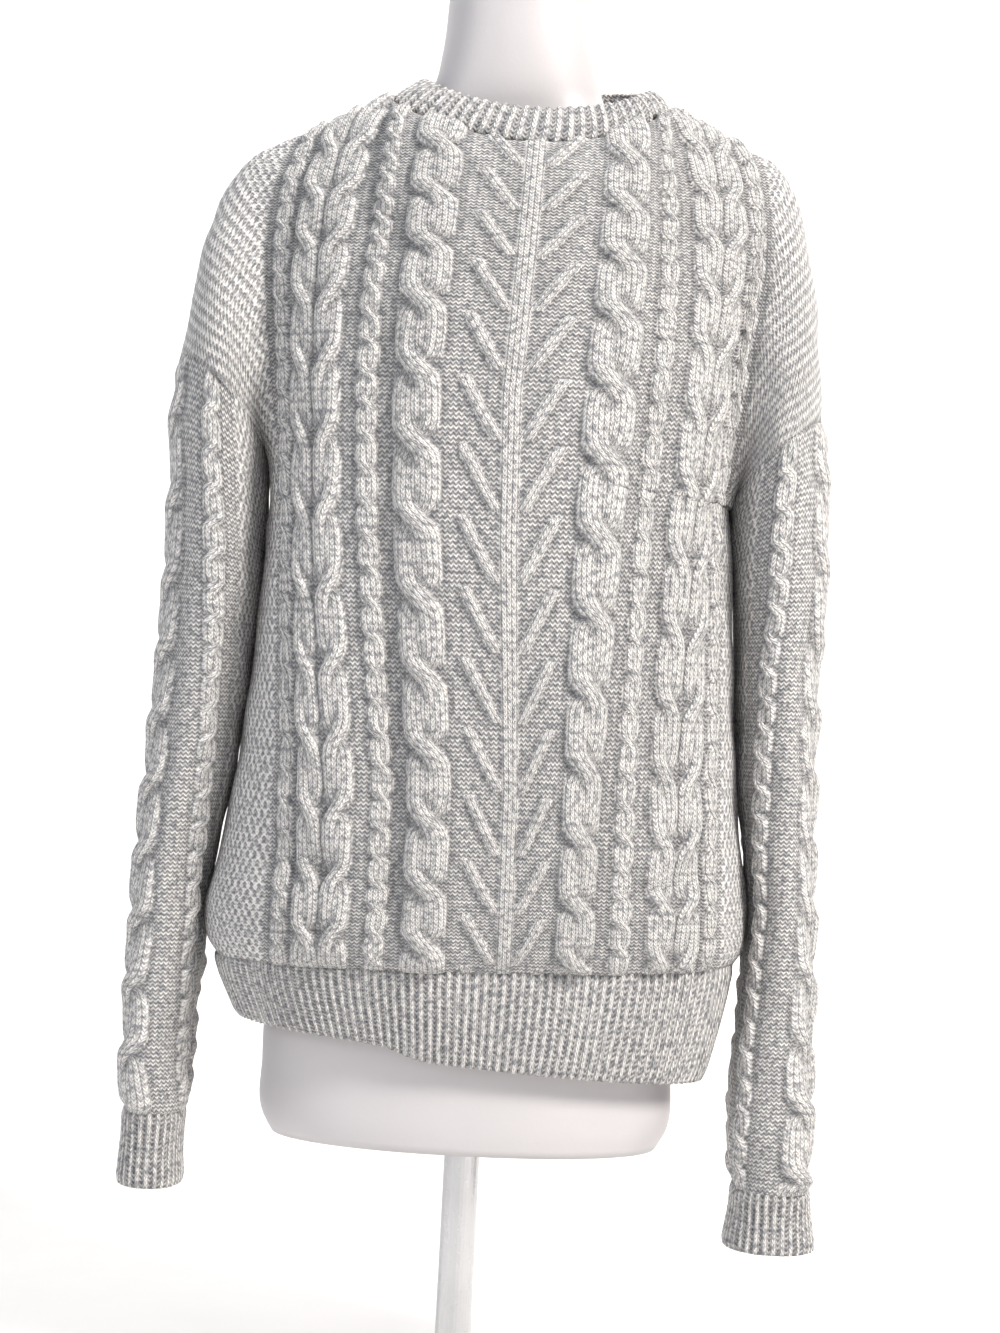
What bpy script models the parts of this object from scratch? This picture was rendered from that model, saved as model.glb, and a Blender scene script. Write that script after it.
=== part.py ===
"""Cable knit sweater on a limbless dress form.

Metres, +Z up, +X to the viewer's right, the garment's front faces -Y.
The origin is the centre of the base plate's underside.
"""
import math

import bmesh
import bpy
import numpy as np

# ---- cloth -------------------------------------------------------------
WALL = 0.003              # thickness of the knitted cloth
RIB_WALL = 0.0034         # the ribs are knitted denser
SEAM_GAP = 0.0003         # between neighbouring pieces
DIAGONAL_ORDER = np.array([0.31, 0.62, 0.72])  # which way the edge quads are split
SIDE_COLUMNS = 4          # columns from a side seam to the armpit crease
SHOULDER_COLUMNS = 5      # from the crease's top to the neck
NECK_COLUMNS = 12         # across the neck opening
COLUMNS = 2 * (SIDE_COLUMNS + SHOULDER_COLUMNS) + NECK_COLUMNS
BODY_ROWS = 11            # hem seam to underarm
YOKE_ROWS = 9             # underarm to shoulder seam
SLEEVE_ROWS = 15
SIDE_SHARE = 0.115        # of half the body's girth, seam to crease
SQUARENESS = 2.35         # power of the body's sections
SLEEVE_SQUARENESS = 2.2

# Sections of the body. "tilt" is the section's rise per metre towards +X.
BODY_COLUMNS = ("z", "left", "right", "front", "back", "tilt")
BODY_SECTIONS = [
    (0.317, 0.1800, 0.1800, 0.1100, 0.0990, 0.030),
    (0.328, 0.1862, 0.1858, 0.1180, 0.1070, 0.026),
    (0.345, 0.1880, 0.1872, 0.1215, 0.1105, 0.020),
    (0.385, 0.1805, 0.1835, 0.1215, 0.1100, 0.008),
    (0.430, 0.1730, 0.1775, 0.1205, 0.1085, 0.000),
    (0.486, 0.1665, 0.1725, 0.1195, 0.1070, 0.000),
    (0.545, 0.1620, 0.1680, 0.1190, 0.1065, 0.000),
    (0.605, 0.1590, 0.1640, 0.1180, 0.1060, 0.000),
    (0.640, 0.1585, 0.1612, 0.1170, 0.1055, 0.004),
]
UNDERARM_FRONT = 0.1160   # depth of the section at the armholes' lowest points
UNDERARM_BACK = 0.1050
# The hem rib hangs from the body's lowest section.
HEM_COLUMNS = ("down", "left", "right", "front", "back")
HEM_SECTIONS = [
    (0.00, 0.1800, 0.1800, 0.1100, 0.0990),
    (0.35, 0.1750, 0.1752, 0.1075, 0.0960),
    (0.70, 0.1682, 0.1690, 0.1035, 0.0930),
    (1.00, 0.1620, 0.1630, 0.1000, 0.0905),
]
HEM_ROWS = 3
HEM_BOTTOM = 0.256
HEM_BOTTOM_TILT = -0.065
HEM_STEP = 0.004          # the soft step in the front of the hem
HEM_STEP_X = -0.045
HEM_STEP_WIDTH = 0.012

# Outline of the shoulder seam, armhole to neck, on each side.
OUTLINE_COLUMNS = ("left_x", "left_z", "right_x", "right_z")
OUTLINE = [
    (-0.2240, 0.7139, 0.2216, 0.6946),
    (-0.2195, 0.7430, 0.2185, 0.7330),
    (-0.2165, 0.7680, 0.2140, 0.7800),
    (-0.2115, 0.8060, 0.2070, 0.8200),
    (-0.2035, 0.8330, 0.2000, 0.8480),
    (-0.1945, 0.8540, 0.1930, 0.8680),
    (-0.1840, 0.8690, 0.1835, 0.8812),
]
NECK_LEFT = (-0.0880, 0.9110)
NECK_RIGHT = (0.1050, 0.9127)
NECK_FRONT = (0.0150, -0.0740, 0.8745)
NECK_BACK = (0.0100, 0.0560, 0.9060)
NECK_FRONT_POWER = 1.5    # how the neckline dips from the shoulder to its lowest point
NECK_BACK_POWER = 0.8
SHOULDER_SAG = -0.0015    # the seam's dip between neck and shoulder
YOKE_POWER = 2.6          # how squarely the chest turns over to the shoulder
YOKE_ROW_POWER = 1.4      # rows closer together towards the shoulder
YOKE_SPREAD_POWER = 1.6
UNDERARM_FOLD_POWER = 3   # how soon the underarm's fold turns into the armhole
CAP_PUFF = 0.011          # how far the dropped shoulder stands out
CAP_SIDEWAYS = 0.45       # the way it does, away from the body and to the front or back
CAP_FORWARD = 0.9

# Neck rib: top edge, drawn in from the seam.
BAND_LEFT = (-0.0650, 0.9270)
BAND_RIGHT = (0.0920, 0.9275)
BAND_FRONT = (0.0140, -0.0655, 0.8998)
BAND_BACK = (0.0120, 0.0500, 0.9330)
BAND_ROWS = 3
BAND_BELLY = 0.0275       # the band's swell between its edges, as a share of its reach

# Sleeves: the first section is the armhole, the last the cuff's seam. "arch" lifts
# a section's front and back, "pinch" narrows it towards the body.
# Columns: z, x, y, half_x, half_y, tilt, arch, pinch.
RIGHT_SLEEVE = [          # the wearer's right, on the -X side
    (0.6825, -0.1920, 0.000, 0.0320, 0.0750, -0.980, 0.022, 0.40),
    (0.6420, -0.1926, 0.000, 0.0317, 0.0740, -0.560, 0.010, 0.25),
    (0.5840, -0.1933, 0.000, 0.0315, 0.0710, -0.200, 0.002, 0.10),
    (0.5350, -0.1955, 0.001, 0.0310, 0.0670, -0.050, 0.000, 0.03),
    (0.4857, -0.1990, 0.002, 0.0302, 0.0635, 0.000, 0.000, 0.00),
    (0.4300, -0.2040, 0.002, 0.0285, 0.0600, 0.000, 0.000, 0.00),
    (0.3800, -0.2105, 0.001, 0.0255, 0.0565, 0.000, 0.000, 0.00),
    (0.3340, -0.2135, 0.000, 0.0235, 0.0535, 0.000, 0.000, 0.00),
    (0.3030, -0.2143, 0.000, 0.0238, 0.0510, 0.000, 0.000, 0.00),
    (0.2645, -0.2163, -0.001, 0.0212, 0.0485, 0.000, 0.000, 0.00),
    (0.2320, -0.2172, -0.002, 0.0217, 0.0470, 0.000, 0.000, 0.00),
    (0.2015, -0.2172, -0.002, 0.0205, 0.0420, 0.000, 0.000, 0.00),
]
LEFT_SLEEVE = [           # the wearer's left, on the +X side
    (0.6665, 0.1923, 0.000, 0.0293, 0.0740, 0.960, 0.014, 0.40),
    (0.6350, 0.1935, 0.000, 0.0300, 0.0730, 0.520, 0.008, 0.28),
    (0.6050, 0.1963, 0.000, 0.0295, 0.0715, 0.260, 0.003, 0.16),
    (0.5415, 0.1992, 0.001, 0.0278, 0.0670, 0.050, 0.000, 0.03),
    (0.4620, 0.2035, 0.002, 0.0264, 0.0620, 0.000, 0.000, 0.00),
    (0.4130, 0.2075, 0.002, 0.0243, 0.0590, 0.000, 0.000, 0.00),
    (0.3630, 0.2118, 0.001, 0.0224, 0.0560, 0.000, 0.000, 0.00),
    (0.3220, 0.2126, 0.000, 0.0241, 0.0530, 0.000, 0.000, 0.00),
    (0.2640, 0.2121, -0.001, 0.0272, 0.0490, 0.000, 0.000, 0.00),
    (0.2155, 0.2114, -0.002, 0.0285, 0.0470, 0.000, 0.000, 0.00),
    (0.1680, 0.2149, -0.002, 0.0262, 0.0420, 0.000, 0.000, 0.00),
]
CUFF_ROWS = 3
RIGHT_CUFF = [
    (0.2015, -0.2172, -0.002, 0.0205, 0.0420, 0.000, 0.000, 0.00),
    (0.1850, -0.2178, -0.002, 0.0200, 0.0375, 0.000, 0.000, 0.00),
    (0.1670, -0.2182, -0.002, 0.0205, 0.0370, 0.000, 0.000, 0.00),
    (0.1495, -0.2180, -0.002, 0.0220, 0.0385, 0.000, 0.000, 0.00),
]
LEFT_CUFF = [
    (0.1680, 0.2149, -0.002, 0.0262, 0.0420, 0.000, 0.000, 0.00),
    (0.1540, 0.2152, -0.002, 0.0268, 0.0380, 0.000, 0.000, 0.00),
    (0.1400, 0.2154, -0.002, 0.0290, 0.0375, 0.000, 0.000, 0.00),
    (0.1260, 0.2156, -0.002, 0.0315, 0.0385, 0.000, 0.000, 0.00),
]

# Soft folds. A positive depth is a trough, a negative one a ridge.
# Columns: x_top, z_top, x_low, z_low, depth, width.
FRONT_FOLDS = [
    (-0.077, 0.760, -0.054, 0.330, 0.0060, 0.016),
    (-0.120, 0.640, -0.112, 0.430, -0.0040, 0.018),
    (0.098, 0.720, 0.118, 0.420, 0.0050, 0.017),
    (0.060, 0.560, 0.052, 0.360, -0.0035, 0.020),
    (-0.165, 0.392, -0.070, 0.378, 0.0050, 0.012),
    (0.085, 0.372, 0.165, 0.392, 0.0050, 0.012),
    (-0.105, 0.828, -0.050, 0.780, 0.0035, 0.013),
    (0.140, 0.835, 0.085, 0.790, 0.0035, 0.013),
]
BACK_FOLDS = [
    (0.070, 0.740, 0.060, 0.350, 0.0060, 0.018),
    (-0.040, 0.700, -0.060, 0.340, 0.0055, 0.018),
    (0.010, 0.600, 0.000, 0.380, -0.0040, 0.022),
    (-0.150, 0.385, -0.060, 0.398, 0.0050, 0.012),
    (0.060, 0.390, 0.155, 0.376, 0.0045, 0.012),
]
# Folds in a sleeve: "turn" is the place round it, 0 inner, 0.25 front, 0.5 outer.
# Columns: turn_top, z_top, turn_low, z_low, depth, width.
RIGHT_SLEEVE_FOLDS = [
    (0.36, 0.640, 0.33, 0.300, 0.0045, 0.055),
    (0.17, 0.560, 0.19, 0.330, 0.0035, 0.050),
    (0.70, 0.600, 0.66, 0.320, 0.0050, 0.060),
]
LEFT_SLEEVE_FOLDS = [
    (0.37, 0.560, 0.36, 0.230, 0.0070, 0.055),
    (0.18, 0.600, 0.20, 0.400, 0.0035, 0.050),
    (0.68, 0.580, 0.72, 0.300, 0.0050, 0.060),
]
FOLD_END = 0.030          # length over which a fold dies out

# ---- dress form and stand ----------------------------------------------
# Columns: z, half, front, back, tilt.
FORM_SECTIONS = [
    (0.1900, 0.1340, 0.0800, 0.0800, 0.000),
    (0.2000, 0.1400, 0.0830, 0.0840, 0.000),
    (0.2400, 0.1430, 0.0840, 0.0820, 0.000),
    (0.3000, 0.1410, 0.0830, 0.0790, 0.000),
    (0.3800, 0.1240, 0.0780, 0.0730, 0.000),
    (0.4400, 0.1120, 0.0750, 0.0680, 0.000),
    (0.5000, 0.1180, 0.0800, 0.0720, 0.000),
    (0.5700, 0.1320, 0.0980, 0.0800, 0.000),
    (0.6400, 0.1440, 0.1080, 0.0860, 0.000),
    (0.7000, 0.1480, 0.1030, 0.0890, 0.005),
    (0.7600, 0.1500, 0.0900, 0.0890, 0.015),
    (0.8100, 0.1580, 0.0740, 0.0760, 0.025),
    (0.8510, 0.1680, 0.0580, 0.0560, 0.032),
    (0.8680, 0.1660, 0.0470, 0.0420, 0.032),
    (0.8820, 0.1440, 0.0420, 0.0370, 0.030),
    (0.8935, 0.1130, 0.0400, 0.0350, 0.024),
    (0.9020, 0.0820, 0.0400, 0.0360, 0.010),
    (0.9120, 0.0640, 0.0420, 0.0380, 0.002),
    (0.9240, 0.0580, 0.0440, 0.0400, 0.000),
    (0.9440, 0.0540, 0.0460, 0.0420, 0.000),
    (0.9900, 0.0504, 0.0470, 0.0440, 0.000),
]
FORM_X = -0.001
FORM_AROUND = 40
FORM_SQUARENESS = 2.15
NECK_CAP_HEIGHT = 0.008
NECK_CAP_EDGE = 0.002
POLE_RADIUS = 0.0125
POLE_SIDES = 32
BASE_RADIUS = 0.150
BASE_HEIGHT = 0.014
BASE_EDGE = 0.003
BASE_SIDES = 64


# ---- helpers -------------------------------------------------------------
def table(rows, names):
    """The rows as a dictionary of columns."""
    columns = np.array(rows, float).T
    return dict(zip(names, columns))


def curve_through(known, values, at):
    """Values at the wanted places, on a smooth curve through the known ones."""
    known = np.asarray(known, float)
    values = np.asarray(values, float)
    slopes = np.gradient(values, known)
    place = np.clip(np.searchsorted(known, at, side="right") - 1, 0, len(known) - 2)
    step = known[place + 1] - known[place]
    s = (np.clip(at, known[0], known[-1]) - known[place]) / step
    rise = values[place + 1] - values[place]
    first = slopes[place] * step
    last = slopes[place + 1] * step
    bend = (first - rise) * (1 - s) - (last - rise) * s
    return values[place] + s * rise + s * (1 - s) * bend


def half_section(left, right, depth, power, side, samples=181):
    """Half a section from the -X end to the +X end, front (side -1) or back (side 1)."""
    angle = np.linspace(math.pi, 0.0, samples)
    across = np.sign(np.cos(angle)) * np.abs(np.cos(angle)) ** (2 / power)
    out = np.abs(np.sin(angle)) ** (2 / power)
    width = np.where(across < 0, left, right)
    return np.stack([width * across, side * depth * out], axis=1)


def along(points, shares):
    """Points at the given shares of a polyline's length."""
    steps = np.linalg.norm(np.diff(points, axis=0), axis=1)
    length = np.concatenate([[0.0], np.cumsum(steps)])
    wanted = np.asarray(shares) * length[-1]
    axes = [np.interp(wanted, length, points[:, k]) for k in range(points.shape[1])]
    return np.stack(axes, axis=-1)


def girth_share(column):
    """Share of a half section's length at a column number."""
    known = [0, SIDE_COLUMNS, COLUMNS - SIDE_COLUMNS, COLUMNS]
    return np.interp(column, known, [0.0, SIDE_SHARE, 1 - SIDE_SHARE, 1.0])


def section_row(left, right, depth, z, tilt, side, column):
    flat = along(half_section(left, right, depth, SQUARENESS, side), girth_share(column))
    height = z + tilt * flat[:, 0]
    return np.column_stack([flat, height])


def underarm_section():
    """The body's section through both armholes' lowest points."""
    left = ring(RIGHT_SLEEVE[0], 0.0)
    right = ring(LEFT_SLEEVE[0], 0.0)
    tilt = (right[2] - left[2]) / (right[0] - left[0])
    z = left[2] - tilt * left[0]
    return (z, -left[0], right[0], UNDERARM_FRONT, UNDERARM_BACK, tilt)


def body_row(z, side, column):
    """One row of a body panel below the underarm."""
    body = table(BODY_SECTIONS + [underarm_section()], BODY_COLUMNS)
    at = {name: curve_through(body["z"], body[name], z) for name in BODY_COLUMNS[1:]}
    depth = at["front"] if side < 0 else at["back"]
    return section_row(at["left"], at["right"], depth, z, at["tilt"], side, column)


def hem_row(down, side, column):
    """One row of the hem rib, 0 at its seam and 1 at its lower edge."""
    hem = table(HEM_SECTIONS, HEM_COLUMNS)
    at = {name: curve_through(hem["down"], hem[name], down) for name in HEM_COLUMNS[1:]}
    depth = at["front"] if side < 0 else at["back"]
    row = section_row(at["left"], at["right"], depth, 0.0, 0.0, side, column)
    top = BODY_SECTIONS[0][0] + BODY_SECTIONS[0][5] * row[:, 0]
    low = HEM_BOTTOM + HEM_BOTTOM_TILT * row[:, 0]
    step = np.tanh((row[:, 0] - HEM_STEP_X) / HEM_STEP_WIDTH)
    if side > 0:
        step = 2 * (row[:, 0] - row[0, 0]) / (row[-1, 0] - row[0, 0]) - 1
    row[:, 2] = (1 - down) * top + down * (low - HEM_STEP * step)
    return row


def ring(section, turn, power=SLEEVE_SQUARENESS):
    """Points round a sleeve's section: turn 0 faces the body, 0.25 the front."""
    z, x, y, half_x, half_y, tilt, arch, pinch = section
    inward = -np.sign(x)
    cos = np.cos(2 * math.pi * turn)
    sin = np.sin(2 * math.pi * turn)
    off = inward * half_x * np.sign(cos) * np.abs(cos) ** (2 / power)
    deep = -half_y * np.sign(sin) * np.abs(sin) ** (2 / power)
    deep = deep * (1 - pinch * np.clip(cos, 0, 1) ** 2)
    height = z + tilt * off + arch * np.abs(sin)
    return np.stack([x + off, y + deep, height], axis=-1)


def shoulder_line(left):
    """The seam from the armhole up to the crease's top, as x and z."""
    outline = table(OUTLINE, OUTLINE_COLUMNS)
    name = "left" if left else "right"
    line = np.column_stack([outline[name + "_x"], outline[name + "_z"]])
    line[0] = ring((RIGHT_SLEEVE if left else LEFT_SLEEVE)[0], 0.5)[[0, 2]]
    return line


def neck_line(front, share, low_point, left_end, right_end):
    """Half a neck opening from -X to +X, through its lowest point."""
    x = np.where(share < 0.5, low_point[0] - left_end[0], right_end[0] - low_point[0])
    angle = math.pi * (1 - share)
    end_z = np.where(share < 0.5, left_end[1], right_end[1])
    dip = np.sin(angle) ** (NECK_FRONT_POWER if front else NECK_BACK_POWER)
    z = end_z + (low_point[2] - end_z) * dip
    return np.stack([low_point[0] + x * np.cos(angle), low_point[1] * np.sin(angle), z], -1)


def top_line(column, side):
    """The upper edge of a panel: shoulder seam, neck, shoulder seam."""
    crease = SIDE_COLUMNS
    neck = SIDE_COLUMNS + SHOULDER_COLUMNS
    low_point = NECK_FRONT if side < 0 else NECK_BACK
    points = np.zeros((len(column), 3))
    for k, c in enumerate(column):
        left = c < COLUMNS / 2
        from_end = c if left else COLUMNS - c
        end = NECK_LEFT if left else NECK_RIGHT
        if from_end < crease:
            x, z = along(shoulder_line(left), [from_end / crease])[0]
            points[k] = (x, 0.0, z)
        elif from_end < neck:
            s = (from_end - crease) / SHOULDER_COLUMNS
            tip = shoulder_line(left)[-1]
            sag = SHOULDER_SAG * math.sin(math.pi * s)
            points[k] = (tip[0] + s * (end[0] - tip[0]), 0.0, tip[1] + s * (end[1] - tip[1]) + sag)
        else:
            s = (c - neck) / NECK_COLUMNS
            points[k] = neck_line(side < 0, np.array(s), low_point, NECK_LEFT, NECK_RIGHT)
    return points


def yoke_rows(shares, side, column):
    """Rows of a panel from the underarm (0) to the shoulder seam (1)."""
    column = np.asarray(column, float)
    shares = np.asarray(shares, float)
    low = body_row(underarm_section()[0], side, column)
    top = top_line(column, side)
    rise = 1 - (1 - shares) ** YOKE_ROW_POWER
    turn = np.sqrt(np.clip(1 - rise ** YOKE_POWER, 0, 1))
    rows = np.empty((len(shares), len(column), 3))
    rows[:, :, 0] = low[:, 0] + (top - low)[:, 0] * rise[:, None] ** YOKE_SPREAD_POWER
    rows[:, :, 1] = top[:, 1] + (low - top)[:, 1] * turn[:, None]
    rows[:, :, 2] = low[:, 2] + (top - low)[:, 2] * rise[:, None]
    for left in (True, False):
        cap = column < SIDE_COLUMNS if left else column > COLUMNS - SIDE_COLUMNS
        edge = SIDE_COLUMNS if left else COLUMNS - SIDE_COLUMNS
        across = (column[cap] if left else COLUMNS - column[cap]) / SIDE_COLUMNS
        crease = yoke_crease(rise, turn, edge, side)
        sleeve = RIGHT_SLEEVE[0] if left else LEFT_SLEEVE[0]
        armhole = ring(sleeve, -side * shares / 2)
        rows[:, cap] = cap_patch(across, shares, low[cap], top[cap], crease, armhole, left, side)
    return rows


def yoke_crease(rise, turn, edge, side):
    """The armpit crease from the underarm's level up to the shoulder."""
    place = np.array([float(edge)])
    low = body_row(underarm_section()[0], side, place)[0]
    top = top_line(place, side)[0]
    x = low[0] + (top[0] - low[0]) * rise ** YOKE_SPREAD_POWER
    y = top[1] + (low[1] - top[1]) * turn
    z = low[2] + (top[2] - low[2]) * rise
    return np.column_stack([x, y, z])


def cap_patch(across, up, low, top, crease, armhole, left, side):
    """The dropped shoulder, a patch between the armhole (0) and the crease (1)."""
    a = across[None, :, None]
    u = up[:, None, None]
    corners = ((1 - a) * (1 - u) * armhole[0] + a * (1 - u) * crease[0]
               + (1 - a) * u * armhole[-1] + a * u * crease[-1])
    patch = ((1 - a) * armhole[:, None] + a * crease[:, None]
             + (1 - u) * low[None] + u * top[None] - corners)
    puff = CAP_PUFF * np.sin(math.pi * a) * np.sin(math.pi * u)
    outward = np.array([-CAP_SIDEWAYS if left else CAP_SIDEWAYS, CAP_FORWARD * side, 0.0])
    return patch + puff * outward


def fold_shift(x, z, folds):
    """How deep the folds draw the cloth in at each point."""
    shift = np.zeros_like(x)
    for x_top, z_top, x_low, z_low, depth, width in folds:
        line = np.array([x_low - x_top, z_low - z_top])
        length = np.hypot(*line)
        line = line / length
        run = (x - x_top) * line[0] + (z - z_top) * line[1]
        off = (x - x_top) * line[1] - (z - z_top) * line[0]
        ends = np.clip(run / FOLD_END, 0, 1) * np.clip((length - run) / FOLD_END, 0, 1)
        ends = ends * ends * (3 - 2 * ends)
        shift += depth * ends * np.exp(-((off / width) ** 2))
    return shift


def panel(side):
    """Grid of a body panel's outer face, hem seam to shoulder seam."""
    column = np.arange(COLUMNS + 1.0)
    levels = np.linspace(BODY_SECTIONS[0][0], underarm_section()[0], BODY_ROWS + 1)
    body = np.array([body_row(z, side, column) for z in levels])
    yoke = yoke_rows(np.linspace(0, 1, YOKE_ROWS + 1), side, column)
    grid = np.concatenate([body, yoke[1:]])
    folds = FRONT_FOLDS if side < 0 else BACK_FOLDS
    inside = grid[1:-1, 1:-1]
    inside[:, :, 1] -= side * fold_shift(inside[:, :, 0], inside[:, :, 2], folds)
    return grid


def tube(sections, rows, around, folds=()):
    """Grid of a tube's outer face from its top section to its lowest."""
    known = -np.array([s[0] for s in sections])
    columns = np.array(sections).T
    turn = np.arange(around) / around
    levels = np.linspace(known[0], known[-1], rows + 1)
    grid = np.array([ring([curve_through(known, c, z) for c in columns], turn) for z in levels])
    for row, z in zip(grid[1:-1], -levels[1:-1]):
        centre = row.mean(axis=0)
        out = row - centre
        out /= np.linalg.norm(out, axis=1)[:, None]
        row -= out * turn_shift(turn, z, folds)[:, None]
    return grid


def turn_shift(turn, z, folds):
    """How deep a sleeve's folds draw it in round one section."""
    shift = np.zeros_like(turn)
    for turn_top, z_top, turn_low, z_low, depth, width in folds:
        s = (z_top - z) / (z_top - z_low)
        ends = np.clip(min(z_top - z, z - z_low) / FOLD_END, 0, 1)
        off = turn - (turn_top + s * (turn_low - turn_top))
        off = (off + 0.5) % 1 - 0.5
        shift += depth * ends * np.exp(-((off / width) ** 2))
    return shift


def neck_band(around_front):
    """Grid of the neck rib, its seam to its top edge, all round."""
    share = np.linspace(0, 1, around_front + 1)
    rows = []
    for k in range(BAND_ROWS + 1):
        s = k / BAND_ROWS
        halves = []
        for front in (True, False):
            ends = (NECK_LEFT, NECK_RIGHT, NECK_FRONT if front else NECK_BACK)
            tops = (BAND_LEFT, BAND_RIGHT, BAND_FRONT if front else BAND_BACK)
            low = neck_line(front, share, ends[2], ends[0], ends[1])
            top = neck_line(front, share, tops[2], tops[0], tops[1])
            row = (1 - s) * low + s * top
            row[:, :2] *= 1 + BAND_BELLY * math.sin(math.pi * s)
            halves.append(row)
        rows.append(np.concatenate([halves[0][:-1], halves[1][::-1][:-1]]))
    return np.array(rows)


def grid_faces(rows, cols, closed):
    """Corner numbers of a grid's quads."""
    last = cols if closed else cols - 1
    return [(r * cols + c, r * cols + (c + 1) % cols, (r + 1) * cols + (c + 1) % cols,
             (r + 1) * cols + c) for r in range(rows - 1) for c in range(last)]


def shared_normals(pieces):
    """A direction for every point, the same in each piece that meets there."""
    total = {}
    for grid, closed, flip in pieces.values():
        flat = grid.reshape(-1, 3)
        for quad in grid_faces(*grid.shape[:2], closed):
            a, b, c, d = flat[list(quad)]
            normal = np.cross(c - a, d - b) * (-1 if flip else 1)
            normal /= max(np.linalg.norm(normal), 1e-12)
            for corner in quad:
                key = tuple(np.round(flat[corner], 6))
                total[key] = total.get(key, 0) + normal
    for name in ("sleeve_right", "sleeve_left"):
        turn_under(total, pieces[name][0][0])
    found = {}
    for name, (grid, closed, flip) in pieces.items():
        flat = np.array([total[tuple(np.round(p, 6))] for p in grid.reshape(-1, 3)])
        found[name] = (flat / np.linalg.norm(flat, axis=1)[:, None]).reshape(grid.shape)
    return found


def turn_under(total, armhole):
    """At the underarm, body and sleeve hang from one fold, so its outside faces down."""
    for k, point in enumerate(armhole):
        down = max(math.cos(2 * math.pi * k / len(armhole)), 0.0) ** UNDERARM_FOLD_POWER
        key = tuple(np.round(point, 6))
        across = total[key] / np.linalg.norm(total[key])
        total[key] = (1 - down) * across + down * np.array([0.0, 0.0, -1.0])


def away_from_seam(edge, beside, normals, closed):
    """Half a seam gap, square to the seam and to the wall, towards the piece."""
    if closed:
        run = np.roll(edge, -1, axis=0) - np.roll(edge, 1, axis=0)
    else:
        run = np.gradient(edge, axis=0)
    step = np.cross(run, normals)
    if not closed:
        step[1:-1] += step[:-2] + step[2:]
    step /= np.linalg.norm(step, axis=1)[:, None]
    side = np.sign(np.sum(step * (beside - edge), axis=1))[:, None]
    return step * side * SEAM_GAP / 2


def seam_shift(grid, normals, closed):
    """The small move that parts every edge point of a piece from its neighbours."""
    shift = np.zeros_like(grid)
    for end, beside in ((0, 1), (-1, -2)):
        shift[end] += away_from_seam(grid[end], grid[beside], normals[end], closed)
        if not closed:
            edge = grid[:, end]
            shift[:, end] += away_from_seam(edge, grid[:, beside], normals[:, end], False)
    return shift


def edge_triangles(a, b, count, points, flip):
    """The wall's edge between two points, split the same way in both pieces at a seam."""
    if points[a] @ DIAGONAL_ORDER > points[b] @ DIAGONAL_ORDER:
        pair = [(b, a, b + count), (a, a + count, b + count)]
    else:
        pair = [(b, a, a + count), (b, a + count, b + count)]
    return [corners[::-1] if flip else corners for corners in pair]


def add_object(name, mesh, material, smooth=True):
    mesh.materials.append(material)
    mesh.polygons.foreach_set("use_smooth", [smooth] * len(mesh.polygons))
    obj = bpy.data.objects.new(name, mesh)
    bpy.context.scene.collection.objects.link(obj)
    return obj


def add_cloth(name, grid, normals, closed, flip, wall, material):
    """A closed shell: the outer grid, the same grid a wall's depth inside, and edges."""
    outer = grid + seam_shift(grid, normals, closed)
    inner = outer - normals * wall
    rows, cols = grid.shape[:2]
    count = rows * cols
    faces = grid_faces(rows, cols, closed)
    shell = [f[::-1] if flip else f for f in faces]
    shell += [tuple(k + count for k in (f if flip else f[::-1])) for f in faces]
    last = cols if closed else cols - 1
    border = [(c, (c + 1) % cols) for c in range(last)]
    top = (rows - 1) * cols
    border += [(top + (c + 1) % cols, top + c) for c in range(last)]
    if not closed:
        border += [((r + 1) * cols, r * cols) for r in range(rows - 1)]
        border += [(r * cols + cols - 1, (r + 1) * cols + cols - 1) for r in range(rows - 1)]
    points = np.concatenate([outer.reshape(-1, 3), inner.reshape(-1, 3)])
    for a, b in border:
        shell += edge_triangles(a, b, count, points, flip)
    mesh = bpy.data.meshes.new(name)
    mesh.from_pydata(points.tolist(), [], shell)
    mesh.update()
    return add_object(name, mesh, material)


def add_loft(name, rings, material):
    """A solid through the rings, with flat ends."""
    bm = bmesh.new()
    loops = [[bm.verts.new(p) for p in ring_points] for ring_points in rings]
    for low, high in zip(loops, loops[1:]):
        for k in range(len(low)):
            n = (k + 1) % len(low)
            bm.faces.new((low[k], low[n], high[n], high[k]))
    bm.faces.new(loops[0][::-1])
    bm.faces.new(loops[-1])
    mesh = bpy.data.meshes.new(name)
    bm.to_mesh(mesh)
    bm.free()
    return add_object(name, mesh, material)


def oval(centre_x, z, half, front, back, tilt, sides, power):
    turn = np.arange(sides) / sides * 2 * math.pi
    cos = np.sign(np.cos(turn)) * np.abs(np.cos(turn)) ** (2 / power)
    sin = np.sign(np.sin(turn)) * np.abs(np.sin(turn)) ** (2 / power)
    depth = np.where(sin < 0, front, back)
    return np.column_stack([centre_x + half * cos, depth * sin, z + tilt * half * cos])


def add_form(material):
    rings = [oval(FORM_X, z, half, front, back, tilt, FORM_AROUND, FORM_SQUARENESS)
             for z, half, front, back, tilt in FORM_SECTIONS]
    return add_loft("form_torso", rings, material)


def add_neck_cap(material):
    z, half, front, back, tilt = FORM_SECTIONS[-1]
    low = z + SEAM_GAP
    heights = [(low, 0.0), (low + NECK_CAP_HEIGHT - NECK_CAP_EDGE, 0.0),
               (low + NECK_CAP_HEIGHT, NECK_CAP_EDGE)]
    rings = [oval(FORM_X, h, half - cut, front - cut, back - cut, 0.0, FORM_AROUND, FORM_SQUARENESS)
             for h, cut in heights]
    return add_loft("form_neck_cap", rings, material)


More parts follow.
